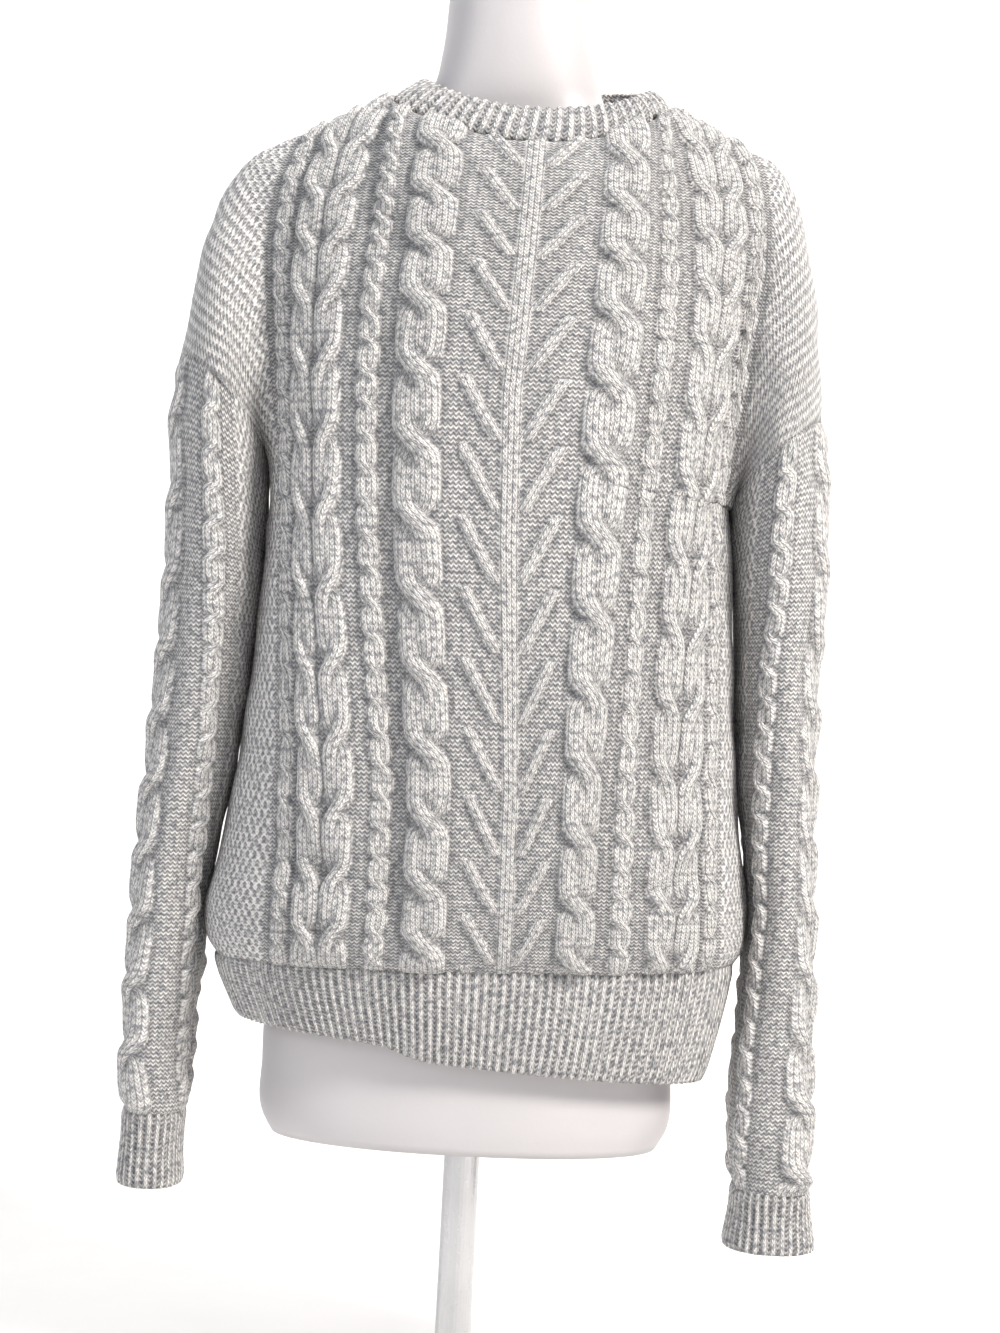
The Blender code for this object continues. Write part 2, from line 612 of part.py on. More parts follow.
def add_stand(pole_material, base_material):
    low = BASE_HEIGHT + SEAM_GAP
    high = FORM_SECTIONS[0][0] - SEAM_GAP
    rings = [oval(FORM_X, z, POLE_RADIUS, POLE_RADIUS, POLE_RADIUS, 0.0, POLE_SIDES, 2.0)
             for z in (low, high)]
    add_loft("stand_pole", rings, pole_material)
    steps = [(0.0, 0.0), (BASE_HEIGHT - BASE_EDGE, 0.0), (BASE_HEIGHT, BASE_EDGE)]
    rings = [oval(0.0, z, BASE_RADIUS - cut, BASE_RADIUS - cut, BASE_RADIUS - cut, 0.0, BASE_SIDES, 2.0)
             for z, cut in steps]
    add_loft("stand_base", rings, base_material)


def add_material(name, colour, roughness, metallic=0.0):
    material = bpy.data.materials.new(name)
    material.use_nodes = True
    shader = material.node_tree.nodes["Principled BSDF"]
    shader.inputs["Base Color"].default_value = (*colour, 1.0)
    shader.inputs["Roughness"].default_value = roughness
    shader.inputs["Metallic"].default_value = metallic
    material.diffuse_color = (*colour, 1.0)
    return material


def cloth_pieces():
    """Every knitted piece as its grid, whether it closes round, and its turn."""
    column = np.arange(COLUMNS + 1.0)
    around = 2 * YOKE_ROWS
    hem_steps = np.linspace(0, 1, HEM_ROWS + 1)
    return {
        "front_panel": (panel(-1), False, False),
        "back_panel": (panel(1), False, True),
        "hem_rib_front": (np.array([hem_row(d, -1, column) for d in hem_steps]), False, True),
        "hem_rib_back": (np.array([hem_row(d, 1, column) for d in hem_steps]), False, False),
        "sleeve_right": (tube(RIGHT_SLEEVE, SLEEVE_ROWS, around, RIGHT_SLEEVE_FOLDS), True, False),
        "sleeve_left": (tube(LEFT_SLEEVE, SLEEVE_ROWS, around, LEFT_SLEEVE_FOLDS), True, True),
        "cuff_right": (tube(RIGHT_CUFF, CUFF_ROWS, around), True, False),
        "cuff_left": (tube(LEFT_CUFF, CUFF_ROWS, around), True, True),
        "neck_rib": (neck_band(NECK_COLUMNS), True, False),
    }


def main():
    for obj in list(bpy.data.objects):
        bpy.data.objects.remove(obj, do_unlink=True)
    pieces = cloth_pieces()
    normals = shared_normals(pieces)
    for name, (grid, closed, flip) in pieces.items():
        ribbed = "rib" in name or "cuff" in name
        material = add_material(name + "_yarn", (0.58, 0.60, 0.60), 0.92)
        add_cloth(name, grid, normals[name], closed, flip, WALL if not ribbed else RIB_WALL, material)
    form = add_material("form_white", (0.83, 0.82, 0.80), 0.55)
    add_form(form)
    add_neck_cap(add_material("cap_white", (0.80, 0.79, 0.77), 0.50))
    pole = add_material("pole_steel", (0.62, 0.62, 0.63), 0.30, 1.0)
    add_stand(pole, add_material("base_white", (0.80, 0.80, 0.79), 0.45))


main()
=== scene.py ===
"""Looks of the cable knit sweater on its dress form.

The cloth's shape repeats part.py's sections; the knitting is laid over it stitch by
stitch: cables, ropes, the leaf spine and the ribs are relief in the mesh, and the
single stitches are drawn by the yarn material from stitch coordinates.
"""

import math
from collections import namedtuple

import bpy
import numpy as np
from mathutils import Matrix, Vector


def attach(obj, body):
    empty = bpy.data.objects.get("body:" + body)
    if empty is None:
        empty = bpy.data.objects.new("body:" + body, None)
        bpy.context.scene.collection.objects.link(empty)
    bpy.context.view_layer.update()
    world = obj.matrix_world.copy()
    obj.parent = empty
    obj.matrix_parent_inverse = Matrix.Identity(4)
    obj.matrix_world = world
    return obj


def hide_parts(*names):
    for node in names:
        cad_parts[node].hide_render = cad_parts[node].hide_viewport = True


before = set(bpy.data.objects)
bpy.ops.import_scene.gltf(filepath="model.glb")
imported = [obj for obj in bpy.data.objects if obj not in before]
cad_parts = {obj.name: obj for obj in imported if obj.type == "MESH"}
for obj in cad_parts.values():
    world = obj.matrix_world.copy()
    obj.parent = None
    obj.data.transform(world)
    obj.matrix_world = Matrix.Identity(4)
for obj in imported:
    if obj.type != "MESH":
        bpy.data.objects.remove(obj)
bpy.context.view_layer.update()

# ---- cloth -------------------------------------------------------------
WALL = 0.003              # thickness of the knitted cloth
RIB_WALL = 0.0034         # the ribs are knitted denser
SIDE_COLUMNS = 4          # columns from a side seam to the armpit crease
SHOULDER_COLUMNS = 5      # from the crease's top to the neck
NECK_COLUMNS = 12         # across the neck opening
COLUMNS = 2 * (SIDE_COLUMNS + SHOULDER_COLUMNS) + NECK_COLUMNS
SIDE_SHARE = 0.115        # of half the body's girth, seam to crease
SQUARENESS = 2.35         # power of the body's sections
SLEEVE_SQUARENESS = 2.2

# Sections of the body. "tilt" is the section's rise per metre towards +X.
BODY_COLUMNS = ("z", "left", "right", "front", "back", "tilt")
BODY_SECTIONS = [
    (0.317, 0.1800, 0.1800, 0.1100, 0.0990, 0.030),
    (0.328, 0.1862, 0.1858, 0.1180, 0.1070, 0.026),
    (0.345, 0.1880, 0.1872, 0.1215, 0.1105, 0.020),
    (0.385, 0.1805, 0.1835, 0.1215, 0.1100, 0.008),
    (0.430, 0.1730, 0.1775, 0.1205, 0.1085, 0.000),
    (0.486, 0.1665, 0.1725, 0.1195, 0.1070, 0.000),
    (0.545, 0.1620, 0.1680, 0.1190, 0.1065, 0.000),
    (0.605, 0.1590, 0.1640, 0.1180, 0.1060, 0.000),
    (0.640, 0.1585, 0.1612, 0.1170, 0.1055, 0.004),
]
UNDERARM_FRONT = 0.1160   # depth of the section at the armholes' lowest points
UNDERARM_BACK = 0.1050
# The hem rib hangs from the body's lowest section.
HEM_COLUMNS = ("down", "left", "right", "front", "back")
HEM_SECTIONS = [
    (0.00, 0.1800, 0.1800, 0.1100, 0.0990),
    (0.35, 0.1750, 0.1752, 0.1075, 0.0960),
    (0.70, 0.1682, 0.1690, 0.1035, 0.0930),
    (1.00, 0.1620, 0.1630, 0.1000, 0.0905),
]
HEM_BOTTOM = 0.256
HEM_BOTTOM_TILT = -0.065
HEM_STEP = 0.004          # the soft step in the front of the hem
HEM_STEP_X = -0.045
HEM_STEP_WIDTH = 0.012

# Outline of the shoulder seam, armhole to neck, on each side.
OUTLINE_COLUMNS = ("left_x", "left_z", "right_x", "right_z")
OUTLINE = [
    (-0.2240, 0.7139, 0.2216, 0.6946),
    (-0.2195, 0.7430, 0.2185, 0.7330),
    (-0.2165, 0.7680, 0.2140, 0.7800),
    (-0.2115, 0.8060, 0.2070, 0.8200),
    (-0.2035, 0.8330, 0.2000, 0.8480),
    (-0.1945, 0.8540, 0.1930, 0.8680),
    (-0.1840, 0.8690, 0.1835, 0.8812),
]
NECK_LEFT = (-0.0880, 0.9110)
NECK_RIGHT = (0.1050, 0.9127)
NECK_FRONT = (0.0150, -0.0740, 0.8745)
NECK_BACK = (0.0100, 0.0560, 0.9060)
NECK_FRONT_POWER = 1.5    # how the neckline dips from the shoulder to its lowest point
NECK_BACK_POWER = 0.8
SHOULDER_SAG = -0.0015    # the seam's dip between neck and shoulder
YOKE_POWER = 2.6          # how squarely the chest turns over to the shoulder
YOKE_ROW_POWER = 1.4      # rows closer together towards the shoulder
YOKE_SPREAD_POWER = 1.6
CAP_PUFF = 0.011          # how far the dropped shoulder stands out
CAP_SIDEWAYS = 0.45       # the way it does, away from the body and to the front or back
CAP_FORWARD = 0.9

# Neck rib: top edge, drawn in from the seam.
BAND_LEFT = (-0.0650, 0.9270)
BAND_RIGHT = (0.0920, 0.9275)
BAND_FRONT = (0.0140, -0.0655, 0.8998)
BAND_BACK = (0.0120, 0.0500, 0.9330)
BAND_BELLY = 0.0275       # the band's swell between its edges, as a share of its reach

# Sleeves: the first section is the armhole, the last the cuff's seam. "arch" lifts
# a section's front and back, "pinch" narrows it towards the body.
# Columns: z, x, y, half_x, half_y, tilt, arch, pinch.
RIGHT_SLEEVE = [          # the wearer's right, on the -X side
    (0.6825, -0.1920, 0.000, 0.0320, 0.0750, -0.980, 0.022, 0.40),
    (0.6420, -0.1926, 0.000, 0.0317, 0.0740, -0.560, 0.010, 0.25),
    (0.5840, -0.1933, 0.000, 0.0315, 0.0710, -0.200, 0.002, 0.10),
    (0.5350, -0.1955, 0.001, 0.0310, 0.0670, -0.050, 0.000, 0.03),
    (0.4857, -0.1990, 0.002, 0.0302, 0.0635, 0.000, 0.000, 0.00),
    (0.4300, -0.2040, 0.002, 0.0285, 0.0600, 0.000, 0.000, 0.00),
    (0.3800, -0.2105, 0.001, 0.0255, 0.0565, 0.000, 0.000, 0.00),
    (0.3340, -0.2135, 0.000, 0.0235, 0.0535, 0.000, 0.000, 0.00),
    (0.3030, -0.2143, 0.000, 0.0238, 0.0510, 0.000, 0.000, 0.00),
    (0.2645, -0.2163, -0.001, 0.0212, 0.0485, 0.000, 0.000, 0.00),
    (0.2320, -0.2172, -0.002, 0.0217, 0.0470, 0.000, 0.000, 0.00),
    (0.2015, -0.2172, -0.002, 0.0205, 0.0420, 0.000, 0.000, 0.00),
]
LEFT_SLEEVE = [           # the wearer's left, on the +X side
    (0.6665, 0.1923, 0.000, 0.0293, 0.0740, 0.960, 0.014, 0.40),
    (0.6350, 0.1935, 0.000, 0.0300, 0.0730, 0.520, 0.008, 0.28),
    (0.6050, 0.1963, 0.000, 0.0295, 0.0715, 0.260, 0.003, 0.16),
    (0.5415, 0.1992, 0.001, 0.0278, 0.0670, 0.050, 0.000, 0.03),
    (0.4620, 0.2035, 0.002, 0.0264, 0.0620, 0.000, 0.000, 0.00),
    (0.4130, 0.2075, 0.002, 0.0243, 0.0590, 0.000, 0.000, 0.00),
    (0.3630, 0.2118, 0.001, 0.0224, 0.0560, 0.000, 0.000, 0.00),
    (0.3220, 0.2126, 0.000, 0.0241, 0.0530, 0.000, 0.000, 0.00),
    (0.2640, 0.2121, -0.001, 0.0272, 0.0490, 0.000, 0.000, 0.00),
    (0.2155, 0.2114, -0.002, 0.0285, 0.0470, 0.000, 0.000, 0.00),
    (0.1680, 0.2149, -0.002, 0.0262, 0.0420, 0.000, 0.000, 0.00),
]
RIGHT_CUFF = [
    (0.2015, -0.2172, -0.002, 0.0205, 0.0420, 0.000, 0.000, 0.00),
    (0.1850, -0.2178, -0.002, 0.0200, 0.0375, 0.000, 0.000, 0.00),
    (0.1670, -0.2182, -0.002, 0.0205, 0.0370, 0.000, 0.000, 0.00),
    (0.1495, -0.2180, -0.002, 0.0220, 0.0385, 0.000, 0.000, 0.00),
]
LEFT_CUFF = [
    (0.1680, 0.2149, -0.002, 0.0262, 0.0420, 0.000, 0.000, 0.00),
    (0.1540, 0.2152, -0.002, 0.0268, 0.0380, 0.000, 0.000, 0.00),
    (0.1400, 0.2154, -0.002, 0.0290, 0.0375, 0.000, 0.000, 0.00),
    (0.1260, 0.2156, -0.002, 0.0315, 0.0385, 0.000, 0.000, 0.00),
]

# Soft folds. A positive depth is a trough, a negative one a ridge.
# Columns: x_top, z_top, x_low, z_low, depth, width.
FRONT_FOLDS = [
    (-0.077, 0.760, -0.054, 0.330, 0.0060, 0.016),
    (-0.120, 0.640, -0.112, 0.430, -0.0040, 0.018),
    (0.098, 0.720, 0.118, 0.420, 0.0050, 0.017),
    (0.060, 0.560, 0.052, 0.360, -0.0035, 0.020),
    (-0.165, 0.392, -0.070, 0.378, 0.0050, 0.012),
    (0.085, 0.372, 0.165, 0.392, 0.0050, 0.012),
    (-0.105, 0.828, -0.050, 0.780, 0.0035, 0.013),
    (0.140, 0.835, 0.085, 0.790, 0.0035, 0.013),
]
BACK_FOLDS = [
    (0.070, 0.740, 0.060, 0.350, 0.0060, 0.018),
    (-0.040, 0.700, -0.060, 0.340, 0.0055, 0.018),
    (0.010, 0.600, 0.000, 0.380, -0.0040, 0.022),
    (-0.150, 0.385, -0.060, 0.398, 0.0050, 0.012),
    (0.060, 0.390, 0.155, 0.376, 0.0045, 0.012),
]
# Folds in a sleeve: "turn" is the place round it, 0 inner, 0.25 front, 0.5 outer.
# Columns: turn_top, z_top, turn_low, z_low, depth, width.
RIGHT_SLEEVE_FOLDS = [
    (0.36, 0.640, 0.33, 0.300, 0.0045, 0.055),
    (0.17, 0.560, 0.19, 0.330, 0.0035, 0.050),
    (0.70, 0.600, 0.66, 0.320, 0.0050, 0.060),
]
LEFT_SLEEVE_FOLDS = [
    (0.37, 0.560, 0.36, 0.230, 0.0070, 0.055),
    (0.18, 0.600, 0.20, 0.400, 0.0035, 0.050),
    (0.68, 0.580, 0.72, 0.300, 0.0050, 0.060),
]
FOLD_END = 0.030          # length over which a fold dies out

# Sections of the dress form. Columns: z, half, front, back, tilt.
FORM_SECTIONS = [
    (0.1900, 0.1340, 0.0800, 0.0800, 0.000),
    (0.2000, 0.1400, 0.0830, 0.0840, 0.000),
    (0.2400, 0.1430, 0.0840, 0.0820, 0.000),
    (0.3000, 0.1410, 0.0830, 0.0790, 0.000),
    (0.3800, 0.1240, 0.0780, 0.0730, 0.000),
    (0.4400, 0.1120, 0.0750, 0.0680, 0.000),
    (0.5000, 0.1180, 0.0800, 0.0720, 0.000),
    (0.5700, 0.1320, 0.0980, 0.0800, 0.000),
    (0.6400, 0.1440, 0.1080, 0.0860, 0.000),
    (0.7000, 0.1480, 0.1030, 0.0890, 0.005),
    (0.7600, 0.1500, 0.0900, 0.0890, 0.015),
    (0.8100, 0.1580, 0.0740, 0.0760, 0.025),
    (0.8510, 0.1680, 0.0580, 0.0560, 0.032),
    (0.8680, 0.1660, 0.0470, 0.0420, 0.032),
    (0.8820, 0.1440, 0.0420, 0.0370, 0.030),
    (0.8935, 0.1130, 0.0400, 0.0350, 0.024),
    (0.9020, 0.0820, 0.0400, 0.0360, 0.010),
    (0.9120, 0.0640, 0.0420, 0.0380, 0.002),
    (0.9240, 0.0580, 0.0440, 0.0400, 0.000),
    (0.9440, 0.0540, 0.0460, 0.0420, 0.000),
    (0.9900, 0.0504, 0.0470, 0.0440, 0.000),
]
FORM_X = -0.001


# ---- helpers -------------------------------------------------------------
def table(rows, names):
    """The rows as a dictionary of columns."""
    columns = np.array(rows, float).T
    return dict(zip(names, columns))


def curve_through(known, values, at):
    """Values at the wanted places, on a smooth curve through the known ones."""
    known = np.asarray(known, float)
    values = np.asarray(values, float)
    slopes = np.gradient(values, known)
    place = np.clip(np.searchsorted(known, at, side="right") - 1, 0, len(known) - 2)
    step = known[place + 1] - known[place]
    s = (np.clip(at, known[0], known[-1]) - known[place]) / step
    rise = values[place + 1] - values[place]
    first = slopes[place] * step
    last = slopes[place + 1] * step
    bend = (first - rise) * (1 - s) - (last - rise) * s
    return values[place] + s * rise + s * (1 - s) * bend


def half_section(left, right, depth, power, side, samples=181):
    """Half a section from the -X end to the +X end, front (side -1) or back (side 1)."""
    angle = np.linspace(math.pi, 0.0, samples)
    across = np.sign(np.cos(angle)) * np.abs(np.cos(angle)) ** (2 / power)
    out = np.abs(np.sin(angle)) ** (2 / power)
    width = np.where(across < 0, left, right)
    return np.stack([width * across, side * depth * out], axis=1)


def along(points, shares):
    """Points at the given shares of a polyline's length."""
    steps = np.linalg.norm(np.diff(points, axis=0), axis=1)
    length = np.concatenate([[0.0], np.cumsum(steps)])
    wanted = np.asarray(shares) * length[-1]
    axes = [np.interp(wanted, length, points[:, k]) for k in range(points.shape[1])]
    return np.stack(axes, axis=-1)


def girth_share(column):
    """Share of a half section's length at a column number."""
    known = [0, SIDE_COLUMNS, COLUMNS - SIDE_COLUMNS, COLUMNS]
    return np.interp(column, known, [0.0, SIDE_SHARE, 1 - SIDE_SHARE, 1.0])


def section_row(left, right, depth, z, tilt, side, column):
    flat = along(half_section(left, right, depth, SQUARENESS, side), girth_share(column))
    height = z + tilt * flat[:, 0]
    return np.column_stack([flat, height])


def underarm_section():
    """The body's section through both armholes' lowest points."""
    left = ring(RIGHT_SLEEVE[0], 0.0)
    right = ring(LEFT_SLEEVE[0], 0.0)
    tilt = (right[2] - left[2]) / (right[0] - left[0])
    z = left[2] - tilt * left[0]
    return (z, -left[0], right[0], UNDERARM_FRONT, UNDERARM_BACK, tilt)


def body_row(z, side, column):
    """One row of a body panel below the underarm."""
    body = table(BODY_SECTIONS + [underarm_section()], BODY_COLUMNS)
    at = {name: curve_through(body["z"], body[name], z) for name in BODY_COLUMNS[1:]}
    depth = at["front"] if side < 0 else at["back"]
    return section_row(at["left"], at["right"], depth, z, at["tilt"], side, column)


def hem_row(down, side, column):
    """One row of the hem rib, 0 at its seam and 1 at its lower edge."""
    hem = table(HEM_SECTIONS, HEM_COLUMNS)
    at = {name: curve_through(hem["down"], hem[name], down) for name in HEM_COLUMNS[1:]}
    depth = at["front"] if side < 0 else at["back"]
    row = section_row(at["left"], at["right"], depth, 0.0, 0.0, side, column)
    top = BODY_SECTIONS[0][0] + BODY_SECTIONS[0][5] * row[:, 0]
    low = HEM_BOTTOM + HEM_BOTTOM_TILT * row[:, 0]
    step = np.tanh((row[:, 0] - HEM_STEP_X) / HEM_STEP_WIDTH)
    if side > 0:
        step = 2 * (row[:, 0] - row[0, 0]) / (row[-1, 0] - row[0, 0]) - 1
    row[:, 2] = (1 - down) * top + down * (low - HEM_STEP * step)
    return row


def ring(section, turn, power=SLEEVE_SQUARENESS):
    """Points round a sleeve's section: turn 0 faces the body, 0.25 the front."""
    z, x, y, half_x, half_y, tilt, arch, pinch = section
    inward = -np.sign(x)
    cos = np.cos(2 * math.pi * turn)
    sin = np.sin(2 * math.pi * turn)
    off = inward * half_x * np.sign(cos) * np.abs(cos) ** (2 / power)
    deep = -half_y * np.sign(sin) * np.abs(sin) ** (2 / power)
    deep = deep * (1 - pinch * np.clip(cos, 0, 1) ** 2)
    height = z + tilt * off + arch * np.abs(sin)
    return np.stack([x + off, y + deep, height], axis=-1)


def shoulder_line(left):
    """The seam from the armhole up to the crease's top, as x and z."""
    outline = table(OUTLINE, OUTLINE_COLUMNS)
    name = "left" if left else "right"
    line = np.column_stack([outline[name + "_x"], outline[name + "_z"]])
    line[0] = ring((RIGHT_SLEEVE if left else LEFT_SLEEVE)[0], 0.5)[[0, 2]]
    return line


def neck_line(front, share, low_point, left_end, right_end):
    """Half a neck opening from -X to +X, through its lowest point."""
    x = np.where(share < 0.5, low_point[0] - left_end[0], right_end[0] - low_point[0])
    angle = math.pi * (1 - share)
    end_z = np.where(share < 0.5, left_end[1], right_end[1])
    dip = np.sin(angle) ** (NECK_FRONT_POWER if front else NECK_BACK_POWER)
    z = end_z + (low_point[2] - end_z) * dip
    return np.stack([low_point[0] + x * np.cos(angle), low_point[1] * np.sin(angle), z], -1)


def top_line(column, side):
    """The upper edge of a panel: shoulder seam, neck, shoulder seam."""
    crease = SIDE_COLUMNS
    neck = SIDE_COLUMNS + SHOULDER_COLUMNS
    low_point = NECK_FRONT if side < 0 else NECK_BACK
    points = np.zeros((len(column), 3))
    for k, c in enumerate(column):
        left = c < COLUMNS / 2
        from_end = c if left else COLUMNS - c
        end = NECK_LEFT if left else NECK_RIGHT
        if from_end < crease:
            x, z = along(shoulder_line(left), [from_end / crease])[0]
            points[k] = (x, 0.0, z)
        elif from_end < neck:
            s = (from_end - crease) / SHOULDER_COLUMNS
            tip = shoulder_line(left)[-1]
            sag = SHOULDER_SAG * math.sin(math.pi * s)
            points[k] = (tip[0] + s * (end[0] - tip[0]), 0.0, tip[1] + s * (end[1] - tip[1]) + sag)
        else:
            s = (c - neck) / NECK_COLUMNS
            points[k] = neck_line(side < 0, np.array(s), low_point, NECK_LEFT, NECK_RIGHT)
    return points


def yoke_rows(shares, side, column):
    """Rows of a panel from the underarm (0) to the shoulder seam (1)."""
    column = np.asarray(column, float)
    shares = np.asarray(shares, float)
    low = body_row(underarm_section()[0], side, column)
    top = top_line(column, side)
    rise = 1 - (1 - shares) ** YOKE_ROW_POWER
    turn = np.sqrt(np.clip(1 - rise ** YOKE_POWER, 0, 1))
    rows = np.empty((len(shares), len(column), 3))
    rows[:, :, 0] = low[:, 0] + (top - low)[:, 0] * rise[:, None] ** YOKE_SPREAD_POWER
    rows[:, :, 1] = top[:, 1] + (low - top)[:, 1] * turn[:, None]
    rows[:, :, 2] = low[:, 2] + (top - low)[:, 2] * rise[:, None]
    for left in (True, False):
        cap = column < SIDE_COLUMNS if left else column > COLUMNS - SIDE_COLUMNS
        edge = SIDE_COLUMNS if left else COLUMNS - SIDE_COLUMNS
        across = (column[cap] if left else COLUMNS - column[cap]) / SIDE_COLUMNS
        crease = yoke_crease(rise, turn, edge, side)
        sleeve = RIGHT_SLEEVE[0] if left else LEFT_SLEEVE[0]
        armhole = ring(sleeve, -side * shares / 2)
        rows[:, cap] = cap_patch(across, shares, low[cap], top[cap], crease, armhole, left, side)
    return rows


def yoke_crease(rise, turn, edge, side):
    """The armpit crease from the underarm's level up to the shoulder."""
    place = np.array([float(edge)])
    low = body_row(underarm_section()[0], side, place)[0]
    top = top_line(place, side)[0]
    x = low[0] + (top[0] - low[0]) * rise ** YOKE_SPREAD_POWER
    y = top[1] + (low[1] - top[1]) * turn
    z = low[2] + (top[2] - low[2]) * rise
    return np.column_stack([x, y, z])


def cap_patch(across, up, low, top, crease, armhole, left, side):
    """The dropped shoulder, a patch between the armhole (0) and the crease (1)."""
    a = across[None, :, None]
    u = up[:, None, None]
    corners = ((1 - a) * (1 - u) * armhole[0] + a * (1 - u) * crease[0]
               + (1 - a) * u * armhole[-1] + a * u * crease[-1])
    patch = ((1 - a) * armhole[:, None] + a * crease[:, None]
             + (1 - u) * low[None] + u * top[None] - corners)
    puff = CAP_PUFF * np.sin(math.pi * a) * np.sin(math.pi * u)
    outward = np.array([-CAP_SIDEWAYS if left else CAP_SIDEWAYS, CAP_FORWARD * side, 0.0])
    return patch + puff * outward


def fold_shift(x, z, folds):
    """How deep the folds draw the cloth in at each point."""
    shift = np.zeros_like(x)
    for x_top, z_top, x_low, z_low, depth, width in folds:
        line = np.array([x_low - x_top, z_low - z_top])
        length = np.hypot(*line)
        line = line / length
        run = (x - x_top) * line[0] + (z - z_top) * line[1]
        off = (x - x_top) * line[1] - (z - z_top) * line[0]
        ends = np.clip(run / FOLD_END, 0, 1) * np.clip((length - run) / FOLD_END, 0, 1)
        ends = ends * ends * (3 - 2 * ends)
        shift += depth * ends * np.exp(-((off / width) ** 2))
    return shift


def tube(sections, rows, around, folds=()):
    """Grid of a tube's outer face from its top section to its lowest."""
    known = -np.array([s[0] for s in sections])
    columns = np.array(sections).T
    turn = np.arange(around) / around
    levels = np.linspace(known[0], known[-1], rows + 1)
    grid = np.array([ring([curve_through(known, c, z) for c in columns], turn) for z in levels])
    for row, z in zip(grid[1:-1], -levels[1:-1]):
        centre = row.mean(axis=0)
        out = row - centre
        out /= np.linalg.norm(out, axis=1)[:, None]
        row -= out * turn_shift(turn, z, folds)[:, None]
    return grid


def turn_shift(turn, z, folds):
    """How deep a sleeve's folds draw it in round one section."""
    shift = np.zeros_like(turn)
    for turn_top, z_top, turn_low, z_low, depth, width in folds:
        s = (z_top - z) / (z_top - z_low)
        ends = np.clip(min(z_top - z, z - z_low) / FOLD_END, 0, 1)
        off = turn - (turn_top + s * (turn_low - turn_top))
        off = (off + 0.5) % 1 - 0.5
        shift += depth * ends * np.exp(-((off / width) ** 2))
    return shift


def neck_band(around_front, band_rows):
    """Grid of the neck rib, its seam to its top edge, all round."""
    share = np.linspace(0, 1, around_front + 1)
    rows = []
    for k in range(band_rows + 1):
        s = k / band_rows
        halves = []
        for front in (True, False):
            ends = (NECK_LEFT, NECK_RIGHT, NECK_FRONT if front else NECK_BACK)
            tops = (BAND_LEFT, BAND_RIGHT, BAND_FRONT if front else BAND_BACK)
            low = neck_line(front, share, ends[2], ends[0], ends[1])
            top = neck_line(front, share, tops[2], tops[0], tops[1])
            row = (1 - s) * low + s * top
            row[:, :2] *= 1 + BAND_BELLY * math.sin(math.pi * s)
            halves.append(row)
        rows.append(np.concatenate([halves[0][:-1], halves[1][::-1][:-1]]))
    return np.array(rows)


# ---- knitting ------------------------------------------------------------
WALE = 0.0035             # width of one stitch
COURSES = 14.5            # courses in one repeat of the leaf spine
FIRST_LEAF_Z = 0.824      # foot of leaf 0 on the centre line
REPEAT_LENGTHS = [        # height, length of one repeat there
    (0.300, 0.034), (0.360, 0.034), (0.400, 0.042), (0.500, 0.046), (0.600, 0.0475),
    (0.680, 0.0465), (0.730, 0.042), (0.780, 0.035), (0.820, 0.031), (0.920, 0.030),
]
COUNT_FROM = 0.24         # heights between which the repeats are counted
COUNT_TO = 0.96
COUNT_STEPS = 720
# Where the spine runs, and the width of a wale on both sides of it, near the
# spine and beyond the ropes.
WALE_COLUMNS = ("z", "spine_x", "near_left", "far_left", "near_right", "far_right")
FAR_WALE = 22.0
LAST_WALE = 122.0         # further than any piece reaches
FRONT_WALES = [
    (0.300, 0.021, 0.0031, 0.0033, 0.0026, 0.0034),
    (0.440, 0.019, 0.0031, 0.0034, 0.0027, 0.0034),
    (0.600, 0.009, 0.0035, 0.0034, 0.0034, 0.0032),
    (0.700, 0.006, 0.0037, 0.0035, 0.0038, 0.0034),
    (0.800, 0.011, 0.0038, 0.0040, 0.0039, 0.0037),
    (0.920, 0.016, 0.0039, 0.0042, 0.0038, 0.0038),
]
BACK_WALES = [
    (0.300, 0.006, 0.0033, 0.0034, 0.0031, 0.0033),
    (0.600, 0.004, 0.0034, 0.0034, 0.0034, 0.0034),
    (0.800, 0.008, 0.0038, 0.0039, 0.0038, 0.0038),
    (0.920, 0.010, 0.0039, 0.0041, 0.0038, 0.0039),
]

# A cable: its middle wale, half its width in wales, the first crossing, the repeats
# from crossing to crossing, its height, and which way the upper strand runs down,
# 1 to +X and -1 to -X.
Cable = namedtuple("Cable", "middle half start period height hand")
BODY_CABLES = [
    Cable(-48.0, 1.9, -1.90, 0.500, 0.0046, 1),
    Cable(-42.0, 3.0, -2.00, 1.088, 0.0066, 1),
    Cable(-36.0, 3.0, -2.00, 1.088, 0.0066, -1),
    Cable(-27.5, 2.1, -1.85, 0.470, 0.0050, 1),
    Cable(-17.5, 4.7, -1.92, 1.087, 0.0075, 1),
    Cable(17.5, 4.7, -1.86, 1.100, 0.0075, 1),
    Cable(27.5, 2.1, -1.85, 0.490, 0.0050, 1),
    Cable(36.0, 3.0, -2.37, 1.050, 0.0066, 1),
    Cable(42.0, 3.0, -2.37, 1.050, 0.0066, -1),
    Cable(48.0, 1.9, -1.90, 0.520, 0.0046, 1),
]
SLEEVE_CABLES = [
    Cable(-25.0, 2.1, -0.30, 0.480, 0.0050, 1),
    Cable(-11.0, 4.7, 0.10, 1.090, 0.0070, 1),
    Cable(11.0, 4.7, 0.10, 1.090, 0.0070, 1),
    Cable(25.0, 2.1, -0.30, 0.480, 0.0050, 1),
]
